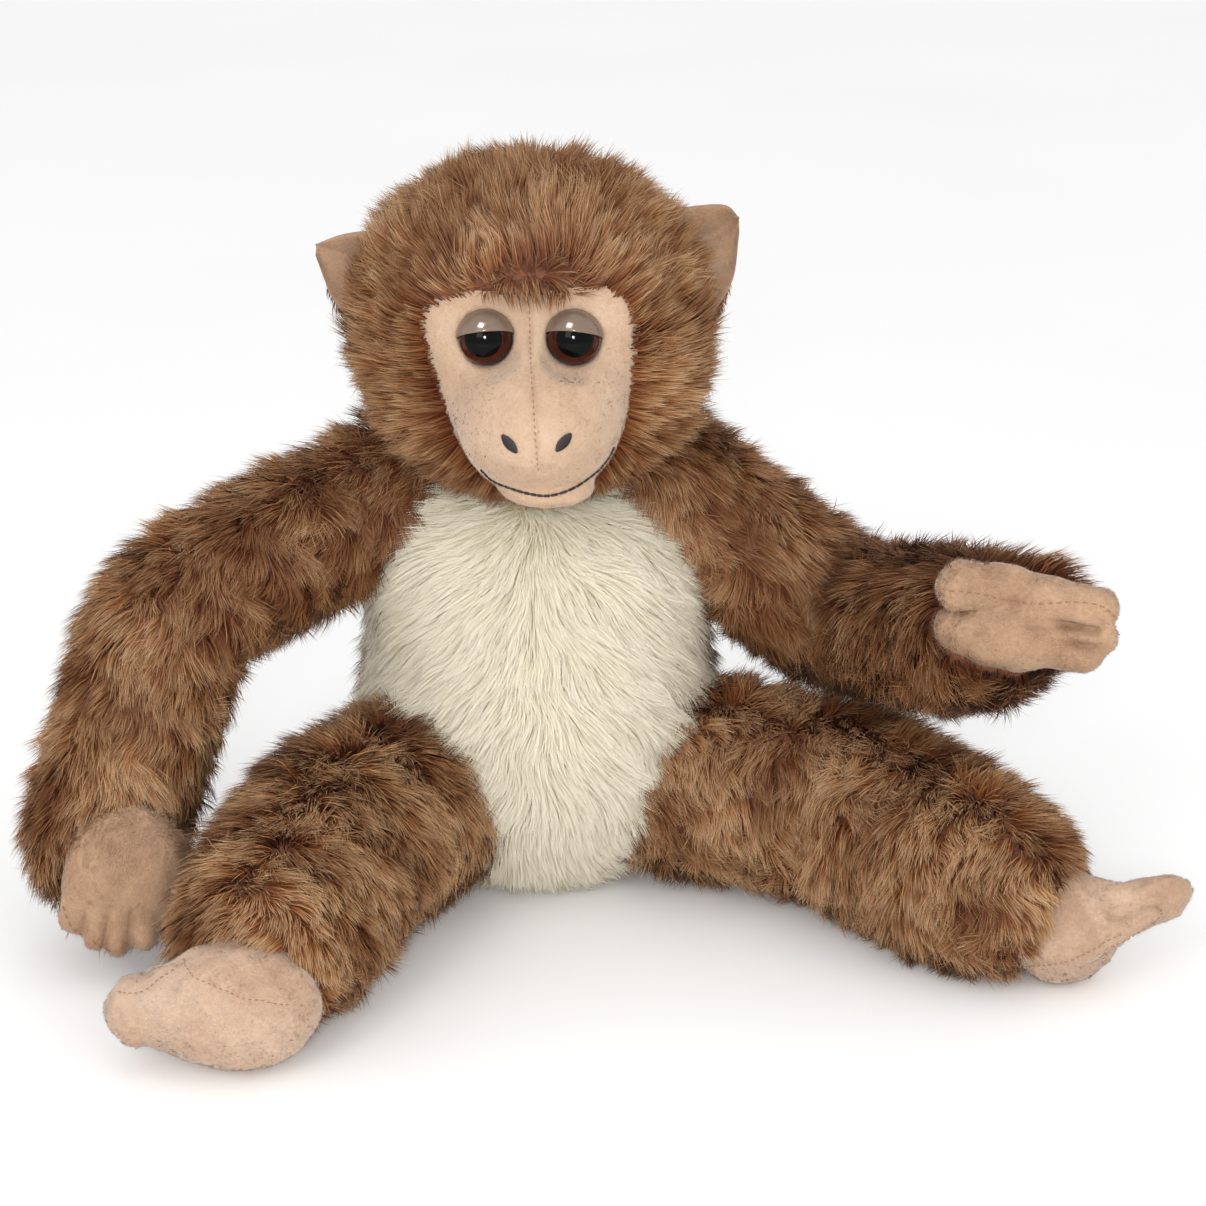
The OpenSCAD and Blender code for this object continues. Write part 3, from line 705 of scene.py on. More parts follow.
def scatter(verts, quads, count, weight=None):
    """Random points on a mesh and the normals there; weight scales the density."""
    tris = np.concatenate([quads[:, [0, 1, 2]], quads[:, [0, 2, 3]]])
    a, b, c = verts[tris[:, 0]], verts[tris[:, 1]], verts[tris[:, 2]]
    area = np.linalg.norm(np.cross(b - a, c - a), axis=1)
    if weight is not None:
        area = area * weight((a + b + c) / 3)
    pick = np.searchsorted(np.cumsum(area) / area.sum(), RNG.random(count))
    u, v = RNG.random(count), RNG.random(count)
    over = u + v > 1
    u[over], v[over] = 1 - u[over], 1 - v[over]
    w = 1 - u - v
    points = a[pick] * w[:, None] + b[pick] * u[:, None] + c[pick] * v[:, None]
    n = vertex_normals(verts, quads)[tris[pick]]
    normals = n[:, 0] * w[:, None] + n[:, 1] * u[:, None] + n[:, 2] * v[:, None]
    return points, unit(normals)


# A strand's ribbon: for each vertex its point along the strand and its width to one side
ROW = [0, 0, 1, 1, 2, 2, 3]
WIDTHS = np.array([-1, 1, -1, 1, -0.7, 0.7, 0])
RIBBON = np.array([[0, 1, 3], [0, 3, 2], [2, 3, 5], [2, 5, 4], [4, 5, 6]])
FROM_ROOT = np.array([0.01, 0.34, 0.68, 0.99])[ROW]
GATHER = np.array([0, 0.3, 0.75, 1.0])  # how far each point of a strand leans into its tuft


def find_tufts(roots, tuft_size):
    """For each root the number of its tuft and of the strand at the tuft's middle."""
    centre_ids = RNG.choice(len(roots), max(len(roots) // tuft_size, 1), replace=False)
    tree = kdtree.KDTree(len(centre_ids))
    for i, c in enumerate(centre_ids):
        tree.insert(roots[c], i)
    tree.balance()
    owner = np.array([tree.find(r)[1] for r in roots.tolist()])
    return len(centre_ids), owner, centre_ids[owner]


def pile(
    name, roots, normals, comb, length, material,
    lift=(54, 36, 20), width=0.3, tuft=0.36, tuft_size=34, sway=0.34, curl=0.18, wave=22.0,
    crisp=0.4, mottle=0.28, mottle_size=26.0, mean_tone=0.5,
):
    """A mesh of fine tapered strands, gathered into tufts and combed along a field."""
    n = len(roots)
    groups, owner, chief = find_tufts(roots, tuft_size)
    # each strand's lean along the fabric, its length and how far its angle strays
    lean = unit(comb) + sway * drift(roots, wave)
    lean += curl * 1.1 * RNG.normal(size=(groups, 3))[owner]
    lean += curl * 0.8 * RNG.normal(size=(n, 3))
    lean = unit(lean - (lean * normals).sum(1, keepdims=True) * normals)
    reach = length * (0.72 + 0.4 * RNG.random(n)) * (0.86 + 0.28 * RNG.random(groups))[owner]
    jitter = (RNG.normal(size=groups) * 7)[owner] + RNG.normal(size=n) * 8

    # four points from below the fabric to the tip, drawn toward the tuft, above the floor
    point = roots - normals * 0.6
    steps = [point]
    for angle in lift:
        a = np.radians(np.clip(angle + jitter, 3, 86))[:, None]
        point = point + (np.cos(a) * lean + np.sin(a) * normals) * (reach / 3)[:, None]
        steps.append(point)
    line = np.stack(steps, 1)
    share = (GATHER * tuft)[None, :, None] * (0.4 + 0.9 * RNG.random(n))[:, None, None]
    line = line + (line[chief] - line) * share
    low = FLOOR_CLEARANCE + 0.5 * RNG.random(n)
    line[..., 2] = np.maximum(line[..., 2], low[:, None])

    # a tapering ribbon, twisted a little about the strand
    along = unit(np.gradient(line, axis=1))
    across = unit(np.cross(along, normals[:, None, :]))
    out = np.cross(across, along)
    twist = RNG.normal(size=n)[:, None, None] * 0.6
    across = across * np.cos(twist) + out * np.sin(twist)
    half = 0.5 * width * (0.7 + 0.6 * RNG.random(n))
    verts = line[:, ROW] + across[:, ROW] * (half[:, None] * WIDTHS)[..., None]
    verts[..., 2] = np.maximum(verts[..., 2], FLOOR_CLEARANCE)
    faces = (np.arange(n)[:, None, None] * len(ROW) + RIBBON).reshape(-1, 3)
    obj = new_mesh(name, verts.reshape(-1, 3), faces, material)

    # its tone and its place along the strand, and shading normals near the fabric's
    tone = np.clip(mean_tone + 0.2 * RNG.normal(size=n)
                   + 0.12 * RNG.normal(size=groups)[owner]
                   + mottle * drift(roots, mottle_size, 1)[:, 0], 0.02, 0.98)
    u = tone[:, None] + np.sign(WIDTHS) * 0.01
    uv = np.stack([u, np.broadcast_to(FROM_ROOT, u.shape)], -1).reshape(-1, 2)
    layer = obj.data.uv_layers.new(name="OFBake")
    layer.data.foreach_set("uv", uv[faces.ravel()].astype(np.float32).ravel())
    strand = unit(np.cross(across[:, ROW], along[:, ROW]))
    strand = strand * np.sign((strand * normals[:, None, :]).sum(2, keepdims=True) + 1e-9)
    shading = unit(normals[:, None, :] * 0.8 + strand * crisp)
    obj.data.normals_split_custom_set_from_vertices(shading.reshape(-1, 3).tolist())
    return obj


def coat(name, mesh, comb, length, per_mm2, material, body, slot_name, weight=None, **style):
    """Grows pile on a mesh; comb and length are functions of the root points."""
    area = 0.5 * np.linalg.norm(face_normals(*mesh), axis=1).sum()
    count = min(int(area * per_mm2 * DENSITY), MOST_STRANDS)
    roots, normals = scatter(*mesh, count, weight)
    obj = pile(name, roots, normals, comb(roots), length(roots), material, **style)
    return attach(obj, body)


def skin(name, mesh, material, body, nodes=()):
    verts, quads = mesh
    return attach(new_mesh(name, verts, quads, material), body, nodes)


def filling(name, shape, low, high, body, nodes, inset=1.6, cell=CELL["filling"]):
    mesh = surface(lambda p: shape(p) + inset, low, high, cell)
    return skin(name, mesh, FIBRE, body, nodes)


def thread(points, radius, sides=8):
    """Rounded stitch following a run of points."""
    pts = np.asarray(points, float)
    tangent = unit(np.gradient(pts, axis=0))
    up = unit(np.cross(tangent, [0.31, 0.2, 0.93]))
    side_way = np.cross(tangent, up)
    turn = np.linspace(0, 2 * math.pi, sides, endpoint=False)
    n = len(pts)
    size = radius * np.sqrt(np.clip(1 - np.linspace(-1, 1, n) ** 6, 0.02, 1))
    turn = turn[None, :, None]
    ring = np.cos(turn) * up[:, None] + np.sin(turn) * side_way[:, None]
    verts = (pts[:, None] + ring * size[:, None, None]).reshape(-1, 3)
    return verts, ring_quads(n, sides)


def joined(parts):
    verts, faces, shift = [], [], 0
    for v, f in parts:
        verts.append(v)
        faces.append(f + shift)
        shift += len(v)
    return np.concatenate(verts), np.concatenate(faces)


# ---------- torso ----------

TORSO_BOX = ([-56, -56, -2], [56, 56, 136])
torso = surface(torso_shape, *TORSO_BOX, CELL["torso"])
torso_centres = torso[0][torso[1]].mean(1)
BELLY_HEIGHTS = [4, 15, 30, 50, 75, 100, 115, 128]
BELLY_HALF_WIDTHS = [15, 24, 36, 48, 52, 48, 44, 36]


def on_belly(c):
    half = np.interp(c[:, 2], BELLY_HEIGHTS, BELLY_HALF_WIDTHS)
    return (np.abs(c[:, 0]) < half) & (c[:, 1] < -3) & (c[:, 2] > 4)


belly_faces = on_belly(torso_centres)
back_mesh = keep_faces(*torso, ~belly_faces)
belly_mesh = {
    "right": keep_faces(*torso, belly_faces & (torso_centres[:, 0] < 0)),
    "left": keep_faces(*torso, belly_faces & (torso_centres[:, 0] >= 0)),
}
skin("back_panel", back_mesh, BROWN_BACKING, "torso", ["back_panel"])
for side in SIDES:
    node = side + "_belly_panel"
    skin(node, belly_mesh[side], CREAM_BACKING, "torso", [node])
filling("torso_filling", torso_shape, *TORSO_BOX, "torso", ["torso_stuffing"])


def belly_comb(p):
    side = np.tanh(p[:, 0] / 18.0)
    top = np.clip((p[:, 2] - 95) / 30, 0, 1)
    return np.stack([0.75 * side, np.zeros(len(p)), -0.75 + 0.5 * top], 1)


def one_way(direction):
    """Comb that points the same way all over."""
    return lambda p: np.tile(direction, (len(p), 1))


def back_comb(p):
    return np.stack([0.01 * p[:, 0], 0.25 * np.ones(len(p)), -np.ones(len(p))], 1)


def even(value):
    return lambda p: np.full(len(p), float(value))


for side in SIDES:
    coat(side + "_belly_pile", belly_mesh[side], belly_comb, even(LENGTH["belly"]),
         STRANDS["belly"], CREAM_PILE, "torso", "cream_plush",
         lift=(50, 32, 17), width=0.24, tuft=0.1, curl=0.1, crisp=0.12, mottle=0.1)
    centres = back_mesh[0][back_mesh[1]].mean(1)
    half = keep_faces(*back_mesh, (centres[:, 0] * OUTWARD[side] >= 0) & (centres[:, 2] > 3.2))
    coat(side + "_back_pile", half, back_comb, even(LENGTH["back"]), STRANDS["back"],
         BROWN_PILE, "torso", "brown_plush", width=0.34)

# ---------- neck ----------


def neck_shape(p):
    return ellipsoid(p, NECK, [22, 22, 20])


NECK_BOX = (NECK - 26, NECK + 26)
skin("neck_sleeve", surface(neck_shape, *NECK_BOX, CELL["neck"]), BROWN_BACKING, "neck",
     ["neck_sleeve"])
filling("neck_filling", neck_shape, *NECK_BOX, "neck", ["neck_stuffing"])

# ---------- limbs ----------

BEND_REACH = 22.0  # how far to each side of a knee or an elbow the points given with its pieces lie
# How pale the pile of each length is, from 0 to 1; the left arm's low tones are painted shade
LIMB_TONE = {
    ("right", "upper_arm"): 0.34, ("right", "forearm"): 0.52,
    ("left", "upper_arm"): 0.16, ("left", "forearm"): 0.1,
    ("right", "thigh"): 0.64, ("right", "shin"): 0.66,
    ("left", "thigh"): 0.66, ("left", "shin"): 0.68,
}


# Paths, shapes, joints and lengths of both kinds of limb, and the pile's share at its end
LIMBS = {
    "arm": (ARM, arm_shape, ARM_JOINTS, ("upper_arm", "forearm"), 0.85),
    "leg": (LEG, leg_shape, LEG_JOINTS, ("thigh", "shin"), 0.6),
}


def along_path(path):
    """Direction of a limb at each point, from the nearest stretch of its path."""
    mids, tangents = (path[1:] + path[:-1]) / 2, unit(np.diff(path, axis=0))

    def field(p):
        d = ((p[:, None, :] - mids[None]) ** 2).sum(2)
        w = np.exp(-(d - d.min(1, keepdims=True)) / 60.0)
        return unit(w @ tangents)

    return field


def split_at(mesh, pivot, direction):
    verts, quads = mesh
    ahead = (verts[quads].mean(1) - pivot) @ direction > 0
    return keep_faces(verts, quads, ~ahead), keep_faces(verts, quads, ahead)


def build_limb(side, kind):
    paths, shape_of, joints, names, shortest = LIMBS[kind]
    arm = kind == "arm"
    path, shape = paths[side], shape_of(side)
    root, pivot, end = (JOINT[f"{side}_{joint}"] for joint in joints)
    reaches = [pivot + unit(p - pivot) * BEND_REACH for p in (root, end)]
    body = (f"{side}_{names[0]}", f"{side}_{names[1]}", *reaches)
    low, high = path.min(0) - 30, path.max(0) + 30
    mesh = surface(shape, low, high, CELL["limb"])
    direction = unit(unit(end - pivot) + unit(pivot - root))
    upper, lower = split_at(mesh, pivot, direction)
    direction_at = along_path(path)
    end_shape = hand_shape(side)[0] if arm else foot_shape(side)

    def comb(p):
        """Down and outward from a parting along the top of the limb."""
        nearest = path[((p[:, None, :] - path[None]) ** 2).sum(2).argmin(1)]
        away = (p - nearest) * [1, 1, 0] + 9.0 * drift(p, 17.0, 1)
        return 0.35 * direction_at(p) + 0.8 * unit(away) + np.array([0, 0, -0.55])

    def length(p):
        """Shorter toward the hand or foot, and where an arm meets the torso."""
        near_end = np.clip(end_shape(p) / 12.0, 0, 1)
        near_body = np.clip(torso_shape(p) / 10.0, 0, 1) if arm else 1.0
        return LENGTH["limb"] * (shortest + (1 - shortest) * near_end) * (0.5 + 0.5 * near_body)

    def room(p):
        """No pile inside the hand, the foot or the torso."""
        free = np.clip(end_shape(p) / 1.5, 0, 1)
        return free * np.clip(torso_shape(p) / 3.0, 0, 1) if arm else free

    for part, name in ((upper, names[0]), (lower, names[1])):
        node = f"{side}_{name}_sleeve"
        skin(node, part, BROWN_BACKING, body, [node])
        coat(f"{side}_{name}_pile", part, comb, length, STRANDS["limb"], BROWN_PILE, body,
             "brown_plush", room, mean_tone=LIMB_TONE[side, name], mottle=0.4)
    stuffing = [f"{side}_{n}_stuffing" for n in names]
    filling(f"{side}_{kind}_filling", shape, low, high, body, stuffing)


for side in SIDES:
    build_limb(side, "arm")
    build_limb(side, "leg")

# ---------- hands and feet ----------


def fuzz(name, mesh, body, direction, material, length=None, weight=None, **style):
    """Fine nap of the short-pile fabric."""
    return coat(name, mesh, one_way(direction), length or even(1.5), STRANDS["nap"], material,
                body, "velour", weight, lift=(56, 44, 30), width=0.15, tuft=0.2, tuft_size=12,
                curl=0.3, wave=9.0, crisp=0.08, **style)


def seam_stitches(shape, points, direction, radius=0.2, stitch=1.5, gap=0.9):
    """Row of small stitches laid on a shape along a run of points."""
    count = 160
    line = lay_on(shape, curve_through(points, count), direction, 0.35)
    run = np.concatenate([[0], np.cumsum(np.linalg.norm(np.diff(line, axis=0), axis=1))])
    parts = []
    start = 0.0
    while start + stitch < run[-1]:
        at = np.linspace(start, start + stitch, 6)
        piece = np.stack([np.interp(at, run, line[:, k]) for k in range(3)], 1)
        piece += unit(gradient(shape, piece)) * (0.3 * np.sin(np.linspace(0, math.pi, 6)))[:, None]
        parts.append(thread(piece, radius, 6))
        start += stitch + gap
    return joined(parts)


# Seams of each hand, along and across it
HAND_SEAMS = {
    "right": ([[7, -14], [12, -11], [15, -7]], [[15, -4], [17, -1], [17.5, 3]]),
    "left": ([[-23, 9], [-14, 8.6], [-5, 6.6], [3, 6.2], [12, 7.4], [20, 7.0], [25, 3.5]],),
}


def build_hand(side):
    shape, axes, centre = hand_shape(side)
    body = side + "_hand"
    low, high = centre - 40, centre + 40
    verts, quads = surface(shape, low, high, CELL["hand"])
    c = (verts[quads].mean(1) - centre) @ axes.T
    back = c[:, 2] < -3.0
    longest = 2.6 if side == "right" else 0.6

    def fade(p):
        """Thinner pile toward the fingers and round the edge of the palm."""
        q = (p - centre) @ axes.T
        return np.clip((17 - q[:, 0]) / 10, 0, 1) * np.clip((-4.0 - q[:, 2]) / 3, 0.15, 1)

    def nap_length(p):
        """Longer nap where the palm meets the sleeve."""
        return 1.4 + longest * np.clip((-6 - (p - centre) @ axes[0]) / 12, 0, 1)

    if side == "right":
        thumb = (c[:, 1] > 15.5) & ~back
    else:
        thumb = (c[:, 1] > 3.2) & (c[:, 0] < 5) & ~back
    groups = {"palm": ~back & ~thumb, "hand_back": back, "thumb": thumb}
    for part, mask in groups.items():
        node = f"{side}_{part}"
        mesh = keep_faces(verts, quads, mask)
        if part == "hand_back":
            skin(node, mesh, BROWN_BACKING, body, [node])
            coat(node + "_pile", mesh, one_way(axes[0] * 0.6), even(LENGTH["hand"]),
                 STRANDS["hand"], BROWN_PILE, body, "brown_plush", fade)
        else:
            # Palm and thumb velour, with painted shade in its darker mottles
            skin(node, mesh, SHADE_PAINTED_HAND_VELOUR, body, [node])
            fuzz(node + "_nap", mesh, body, axes[0], SHADE_PAINTED_HAND_PILE, nap_length,
                 mottle=0.3, mottle_size=12.0)
    parts = [seam_stitches(shape, [centre + np.array([x, y, 16.0]) @ axes for x, y in seam],
                           -axes[2]) for seam in HAND_SEAMS[side]]
    skin(f"{side}_hand_seams", joined(parts), PEACH_THREAD, body)
    filling(f"{side}_hand_filling", shape, low, high, body, [f"{side}_hand_stuffing"],
            1.2, CELL["small_filling"])


def build_foot(side):
    shape = foot_shape(side)
    ankle, heel, toes = foot_ends(side)
    body = side + "_foot"
    low = np.minimum(heel, toes) - 32
    high = np.maximum(heel, toes) + 32
    verts, quads = surface(shape, low, high, CELL["foot"])
    c = verts[quads].mean(1)
    edge = heel[2] + (10.5 if side == "right" else -3.0)
    slope = -0.3 if side == "right" else 0.45
    sole = c[:, 2] < edge + slope * (c[:, 0] - heel[0])
    for part, mask in (("foot_sole", sole), ("foot_top", ~sole)):
        node = f"{side}_{part}"
        mesh = keep_faces(verts, quads, mask)
        skin(node, mesh, FOOT_VELOUR, body, [node])
        nap = SOLE_PILE if part == "foot_sole" else FOOT_PILE
        fuzz(node + "_nap", mesh, body, unit(toes - heel), nap,
             weight=lambda p: np.clip((p[:, 2] - 1.2) / 2, 0, 1), mottle=0.3, mottle_size=13.0)
    line = [[x, heel[1] - 26, edge + slope * (x - heel[0])]
            for x in heel[0] + np.linspace(-14, 15, 8)]
    fine = {"radius": 0.14, "stitch": 1.0, "gap": 0.7}
    parts = [seam_stitches(shape, line, [0, 1, 0], **fine)]
    # Stitches along the fold: their dark line is painted shade of the crease
    if side == "right":
        fold = [heel + [-31, -26, 7.0], heel + [-24, -26, 8.5], heel + [-15, -26, 14]]
    else:
        fold = [heel + [12, -26, 0], heel + [20, -26, 3.5], heel + [27, -26, 8.5]]
    parts.append(seam_stitches(shape, fold, [0, 1, 0], **fine))
    skin(f"{side}_foot_seams", joined(parts), PEACH_THREAD, body)
    filling(f"{side}_foot_filling", shape, low, high, body, [f"{side}_foot_stuffing"],
            1.2, CELL["small_filling"])


for side in SIDES:
    build_hand(side)
    build_foot(side)

# ---------- head ----------

HEAD_BOX = (HEAD - [56, 56, 56], HEAD + [56, 56, 56])
skull = surface(backing_shape, *HEAD_BOX, CELL["head"])
FACE_BACK = HEAD[1] - 12  # how far back along Y the face opening reaches


def in_window(p, margin=0.0):
    """Inside the face opening as seen from the front."""
    return (window_distance(p) < margin) & (p[:, 1] < FACE_BACK)


def head_comb(p):
    """Pile that sweeps out from the face, then back and down over the head."""
    out = p - (HEAD + [1, 0, -8])
    front = np.stack([out[:, 0], np.full(len(p), 12.0), out[:, 2] + 4], 1)
    rear = np.stack([0.3 * out[:, 0], np.full(len(p), 8.0), np.full(len(p), -30.0)], 1)
    t = np.clip((p[:, 1] - HEAD[1] + 12) / 42, 0, 1)[:, None]
    t = t * t * (3 - 2 * t)
    combed = unit(front) * (1 - t) + unit(rear) * t
    over_face = (p[:, 1] < FACE_BACK) & (p[:, 2] > EYE_Z + 4)
    fringe = np.exp(-((p[:, 0] / 15) ** 2)) * np.clip((7 - window_distance(p)) / 5, 0, 1)
    fringe = (fringe * over_face)[:, None]
    return combed * (1 - fringe) + fringe * np.array([0.0, -0.3, -1.4])


def head_length(p):
    """Shorter pile round the face, longest on the cheeks and crown."""
    away = np.where(p[:, 1] < HEAD[1], np.clip(window_distance(p) / 12, 0, 1), 1)
    return 9.5 + away * 5.5


def clear_of_face(p):
    """No pile inside the face opening or under the snout's fabric."""
    under = np.minimum.reduce([ellipsoid(p, *part) for part in CHEEKS + [MUZZLE]])
    return 1.0 * ~(in_window(p, 0.3) | (under < 0.3))


HEAD_TONE = {"crown_panel": 0.28, "right_head_panel": 0.4, "left_head_panel": 0.4}
skull_centres = skull[0][skull[1]].mean(1)
outside = ~in_window(skull_centres, -1.0)
strip = np.abs(skull_centres[:, 0] - HEAD[0]) < 20
crown = strip & ((skull_centres[:, 2] > HEAD[2] - 10) | (skull_centres[:, 1] > HEAD[1] + 8))
head_groups = {
    "crown_panel": crown,
    "right_head_panel": ~crown & (skull_centres[:, 0] < HEAD[0]),
    "left_head_panel": ~crown & (skull_centres[:, 0] >= HEAD[0]),
}
for node, mask in head_groups.items():
    mesh = keep_faces(*skull, mask & outside)
    skin(node, mesh, BROWN_BACKING, "head", [node])
    coat(node + "_pile", mesh, head_comb, head_length, STRANDS["head"], BROWN_PILE,
         "head", "brown_plush", clear_of_face,
         mean_tone=HEAD_TONE[node], lift=(58, 42, 28), sway=0.3, curl=0.13, wave=26.0)
filling("head_filling", skull_shape, *HEAD_BOX, "head", ["head_stuffing"], inset=3.0)

FACE_BOX = ([-40, SNOUT[1] - 32, EYE_Z - 52], [42, HEAD[1] - 6, EYE_Z + 24])
face = surface(face_shape, *FACE_BOX, CELL["face"])
face_centres = face[0][face[1]].mean(1)
under_fringe = np.exp(-((face_centres[:, 0] / 17) ** 2)) * (face_centres[:, 2] > EYE_Z + 4)
shown = in_window(face_centres, 3.5 - 3.3 * under_fringe) | (face_centres[:, 1] < EYE_Y - 4)
lips = mouth_line()
below = face_centres[:, 2] < np.interp(face_centres[:, 0], lips[:, 0], lips[:, 2])
chin = below & (face_centres[:, 2] < SNOUT[2] - 8)
seam_x = np.interp(face_centres[:, 2], [SNOUT[2], EYE_Z + 6], [SNOUT[0], 0.0])


def clear_of_eyes(p):
    """Keeps the nap off the rims of the eyes."""
    near = np.min([np.linalg.norm(p - eye, axis=1) for eye in EYES.values()], axis=0)
    return np.clip((near - EYE_RADIUS - 0.5) / 0.6, 0, 1)


for node, mask in {
    "chin_panel": shown & chin,
    "right_face_panel": shown & ~chin & (face_centres[:, 0] < seam_x),
    "left_face_panel": shown & ~chin & (face_centres[:, 0] >= seam_x),
}.items():
    mesh = keep_faces(*face, mask)
    skin(node, mesh, VELOUR, "head", [node])
    fuzz(node + "_nap", mesh, "head", np.array([0.0, -0.2, -1.0]), PEACH_PILE,
         even(LENGTH["face"]), clear_of_eyes, mottle=0.24, mottle_size=16.0)
seam_run = [[0.0, EYE_Y - 14, EYE_Z + 9], [0.3, EYE_Y - 16, EYE_Z - 2],
            [1.4, EYE_Y - 26, EYE_Z - 14], [SNOUT[0], SNOUT[1] - 30, SNOUT[2] - 6]]
skin("face_seam", seam_stitches(face_shape, seam_run, [0, 1, 0], 0.13, 0.9, 0.9),
     PEACH_THREAD, "head")

# ---------- ears ----------


def sheet(front, back):
    """Closed shell between two grids of points that share their rim."""
    ids = np.arange(front.size // 3).reshape(front.shape[:2])
    faces = grid_quads(ids)
    both = np.stack([faces, faces[:, [0, 3, 2, 1]] + ids.size], 1).reshape(-1, 4)
    rim = np.concatenate([ids[0], ids[1:, -1], ids[-1, -2::-1], ids[-2:0:-1, 0]])
    after = np.roll(rim, -1)
    edge = np.stack([after, rim, rim + ids.size, after + ids.size], 1)
    verts = np.concatenate([front.reshape(-1, 3), back.reshape(-1, 3)])
    return verts, np.concatenate([both, edge])


EAR_TURNED = "left"  # the ear whose grid runs the other way round
EAR_OUTLINE = {
    "right": ([[22, 4], [15, 4.5], [7, 3.5], [0, 1]], [[22, -24], [12, -22], [5, -16], [0, -2]]),
    "left": ([[22, 0], [13, 2], [4, 2.5], [0, -1]], [[22, -34], [10, -31], [2, -20], [0, -5]]),
}


EAR_ROWS, EAR_COLUMNS = 22, 25
# How far each ear's tip lies below and beyond its CAD box, its cup's depth and its fold's
EAR_FORM = {"right": (8.0, 0.0, 6.0, 1.0), "left": (5.0, 2.0, 7.0, 3.0)}


def build_ear(side):
    low, high = box_mm(side + "_ear_front", side + "_ear_back")
    out = OUTWARD[side]
    drop, beyond, cup_depth, fold_depth = EAR_FORM[side]
    tip_x = (low if side == "right" else high)[0] + beyond
    top = np.array([tip_x, (low[1] + high[1]) / 2 - 3, high[2] - drop])
    upper, lower = (curve_through([[*p, 0] for p in line], EAR_ROWS)[:, :2]
                    for line in EAR_OUTLINE[side])
    rows = []
    spread = np.linspace(-1, 1, EAR_COLUMNS)
    t = (spread + 1) / 2
    to_tip = np.linspace(0, 1, EAR_ROWS)
    for (ux, uz), (lx, lz), u in zip(upper, lower, to_tip):
        x = top[0] - out * (lx + (ux - lx) * t)
        z = top[2] + lz + (uz - lz) * t
        cup = (1 - spread**2) * cup_depth * (1 - 0.5 * u)
        fold = fold_depth * np.exp(-(((spread - 0.1 - 0.5 * u) / 0.22) ** 2))
        y = top[1] + cup - 3.0 * u + fold
        rows.append(np.stack([x, y, z], 1))
    mid = np.array(rows)
    thin_sides = np.minimum(1, 3 * (1 - np.abs(spread)))
    thin_tip = np.minimum(1, 3 * (1 - to_tip) + 0.05)
    edge = thin_sides[None, :] * thin_tip[:, None]
    half = (0.5 + 1.5 * np.sqrt(edge))[..., None] * np.array([0, 1, 0])
    for part, front, back, material, slot_name in (
        # The ear front's velour carries painted shade for its fold
        ("ear_front", mid - half, mid - half * 0.02, SHADE_PAINTED_HAND_VELOUR, "velour"),
        ("ear_back", mid + half * 0.02, mid + half, BROWN_BACKING, "brown_plush"),
    ):
        verts, faces = sheet(front, back)
        if side == EAR_TURNED:
            faces = faces[:, ::-1]
        node = f"{side}_{part}"
        skin(node, (verts, faces), material, "head", [node])
    rear = (mid + half).reshape(-1, 3)
    quads = grid_quads(np.arange(len(rear)).reshape(mid.shape[:2]))[:, [0, 3, 2, 1]]
    if vertex_normals(rear, quads)[:, 1].mean() < 0:
        quads = quads[:, ::-1]

    def fade(p):
        """No pile at the ear's outer and upper rim."""
        inward, down = np.abs(top[0] - p[:, 0]) - 2, top[2] + 1 - p[:, 2]
        return np.clip(inward / 3, 0, 1) * np.clip(down / 3, 0, 1)

    coat(f"{side}_ear_pile", (rear, quads), one_way([out * 0.5, 0.2, -1.0]), even(LENGTH["ear"]),
         STRANDS["ear"], BROWN_PILE, "head", "brown_plush", fade, lift=(40, 24, 10))


for side in SIDES:
    build_ear(side)

# ---------- eyes, nostrils and mouth ----------


AROUND_EYE = 96


def revolve(profile, centre, axis):
    """Surface of revolution; profile holds (radius, distance along the axis)."""
    axis = unit(axis)
    u = unit(np.cross(axis, [0.0, 0.0, 1.0]))
    w = np.cross(axis, u)
    turn = np.linspace(0, 2 * math.pi, AROUND_EYE, endpoint=False)
    ring = np.cos(turn)[:, None] * u + np.sin(turn)[:, None] * w
    verts = np.concatenate([centre + axis * h + ring * r for r, h in profile])
    return verts, ring_quads(len(profile), AROUND_EYE)


def arc(radius, first, last, count):
    angles = np.radians(np.linspace(first, last, count))
    return [(max(radius * math.sin(a), 0.004), radius * math.cos(a)) for a in angles]


EYE_BROWN = plain_material("eye_brown", (58, 24, 14), 0.08, 120.0, 0.25, specular=0.12)
PUPIL_BLACK = plain_material("pupil_black", (4, 3, 3), 0.06, 200.0, 0.3, specular=0.12)
EYELID = plain_material("eyelid", (116, 97, 82), 0.16, 260.0, 0.05)
BLACK_THREAD = plain_material("embroidery", (28, 16, 12), 0.7, 2500.0, 0.35)
WASHER = plain_material("washer", (228, 226, 220), 0.4, 600.0, 0.05)

GAZE = {"right": unit([-0.06, -0.965, 0.22]), "left": unit([0.06, -0.965, 0.22])}
LID_EDGE = {"right": unit([-0.09, 0.40, 0.91]), "left": unit([0.09, 0.40, 0.91])}
PUPIL_ANGLE = 43.0  # from the middle of the pupil to its rim, in degrees
STEM = [(2.6, -EYE_RADIUS), (2.4, -EYE_RADIUS - 5.5), (0.01, -EYE_RADIUS - 5.8)]


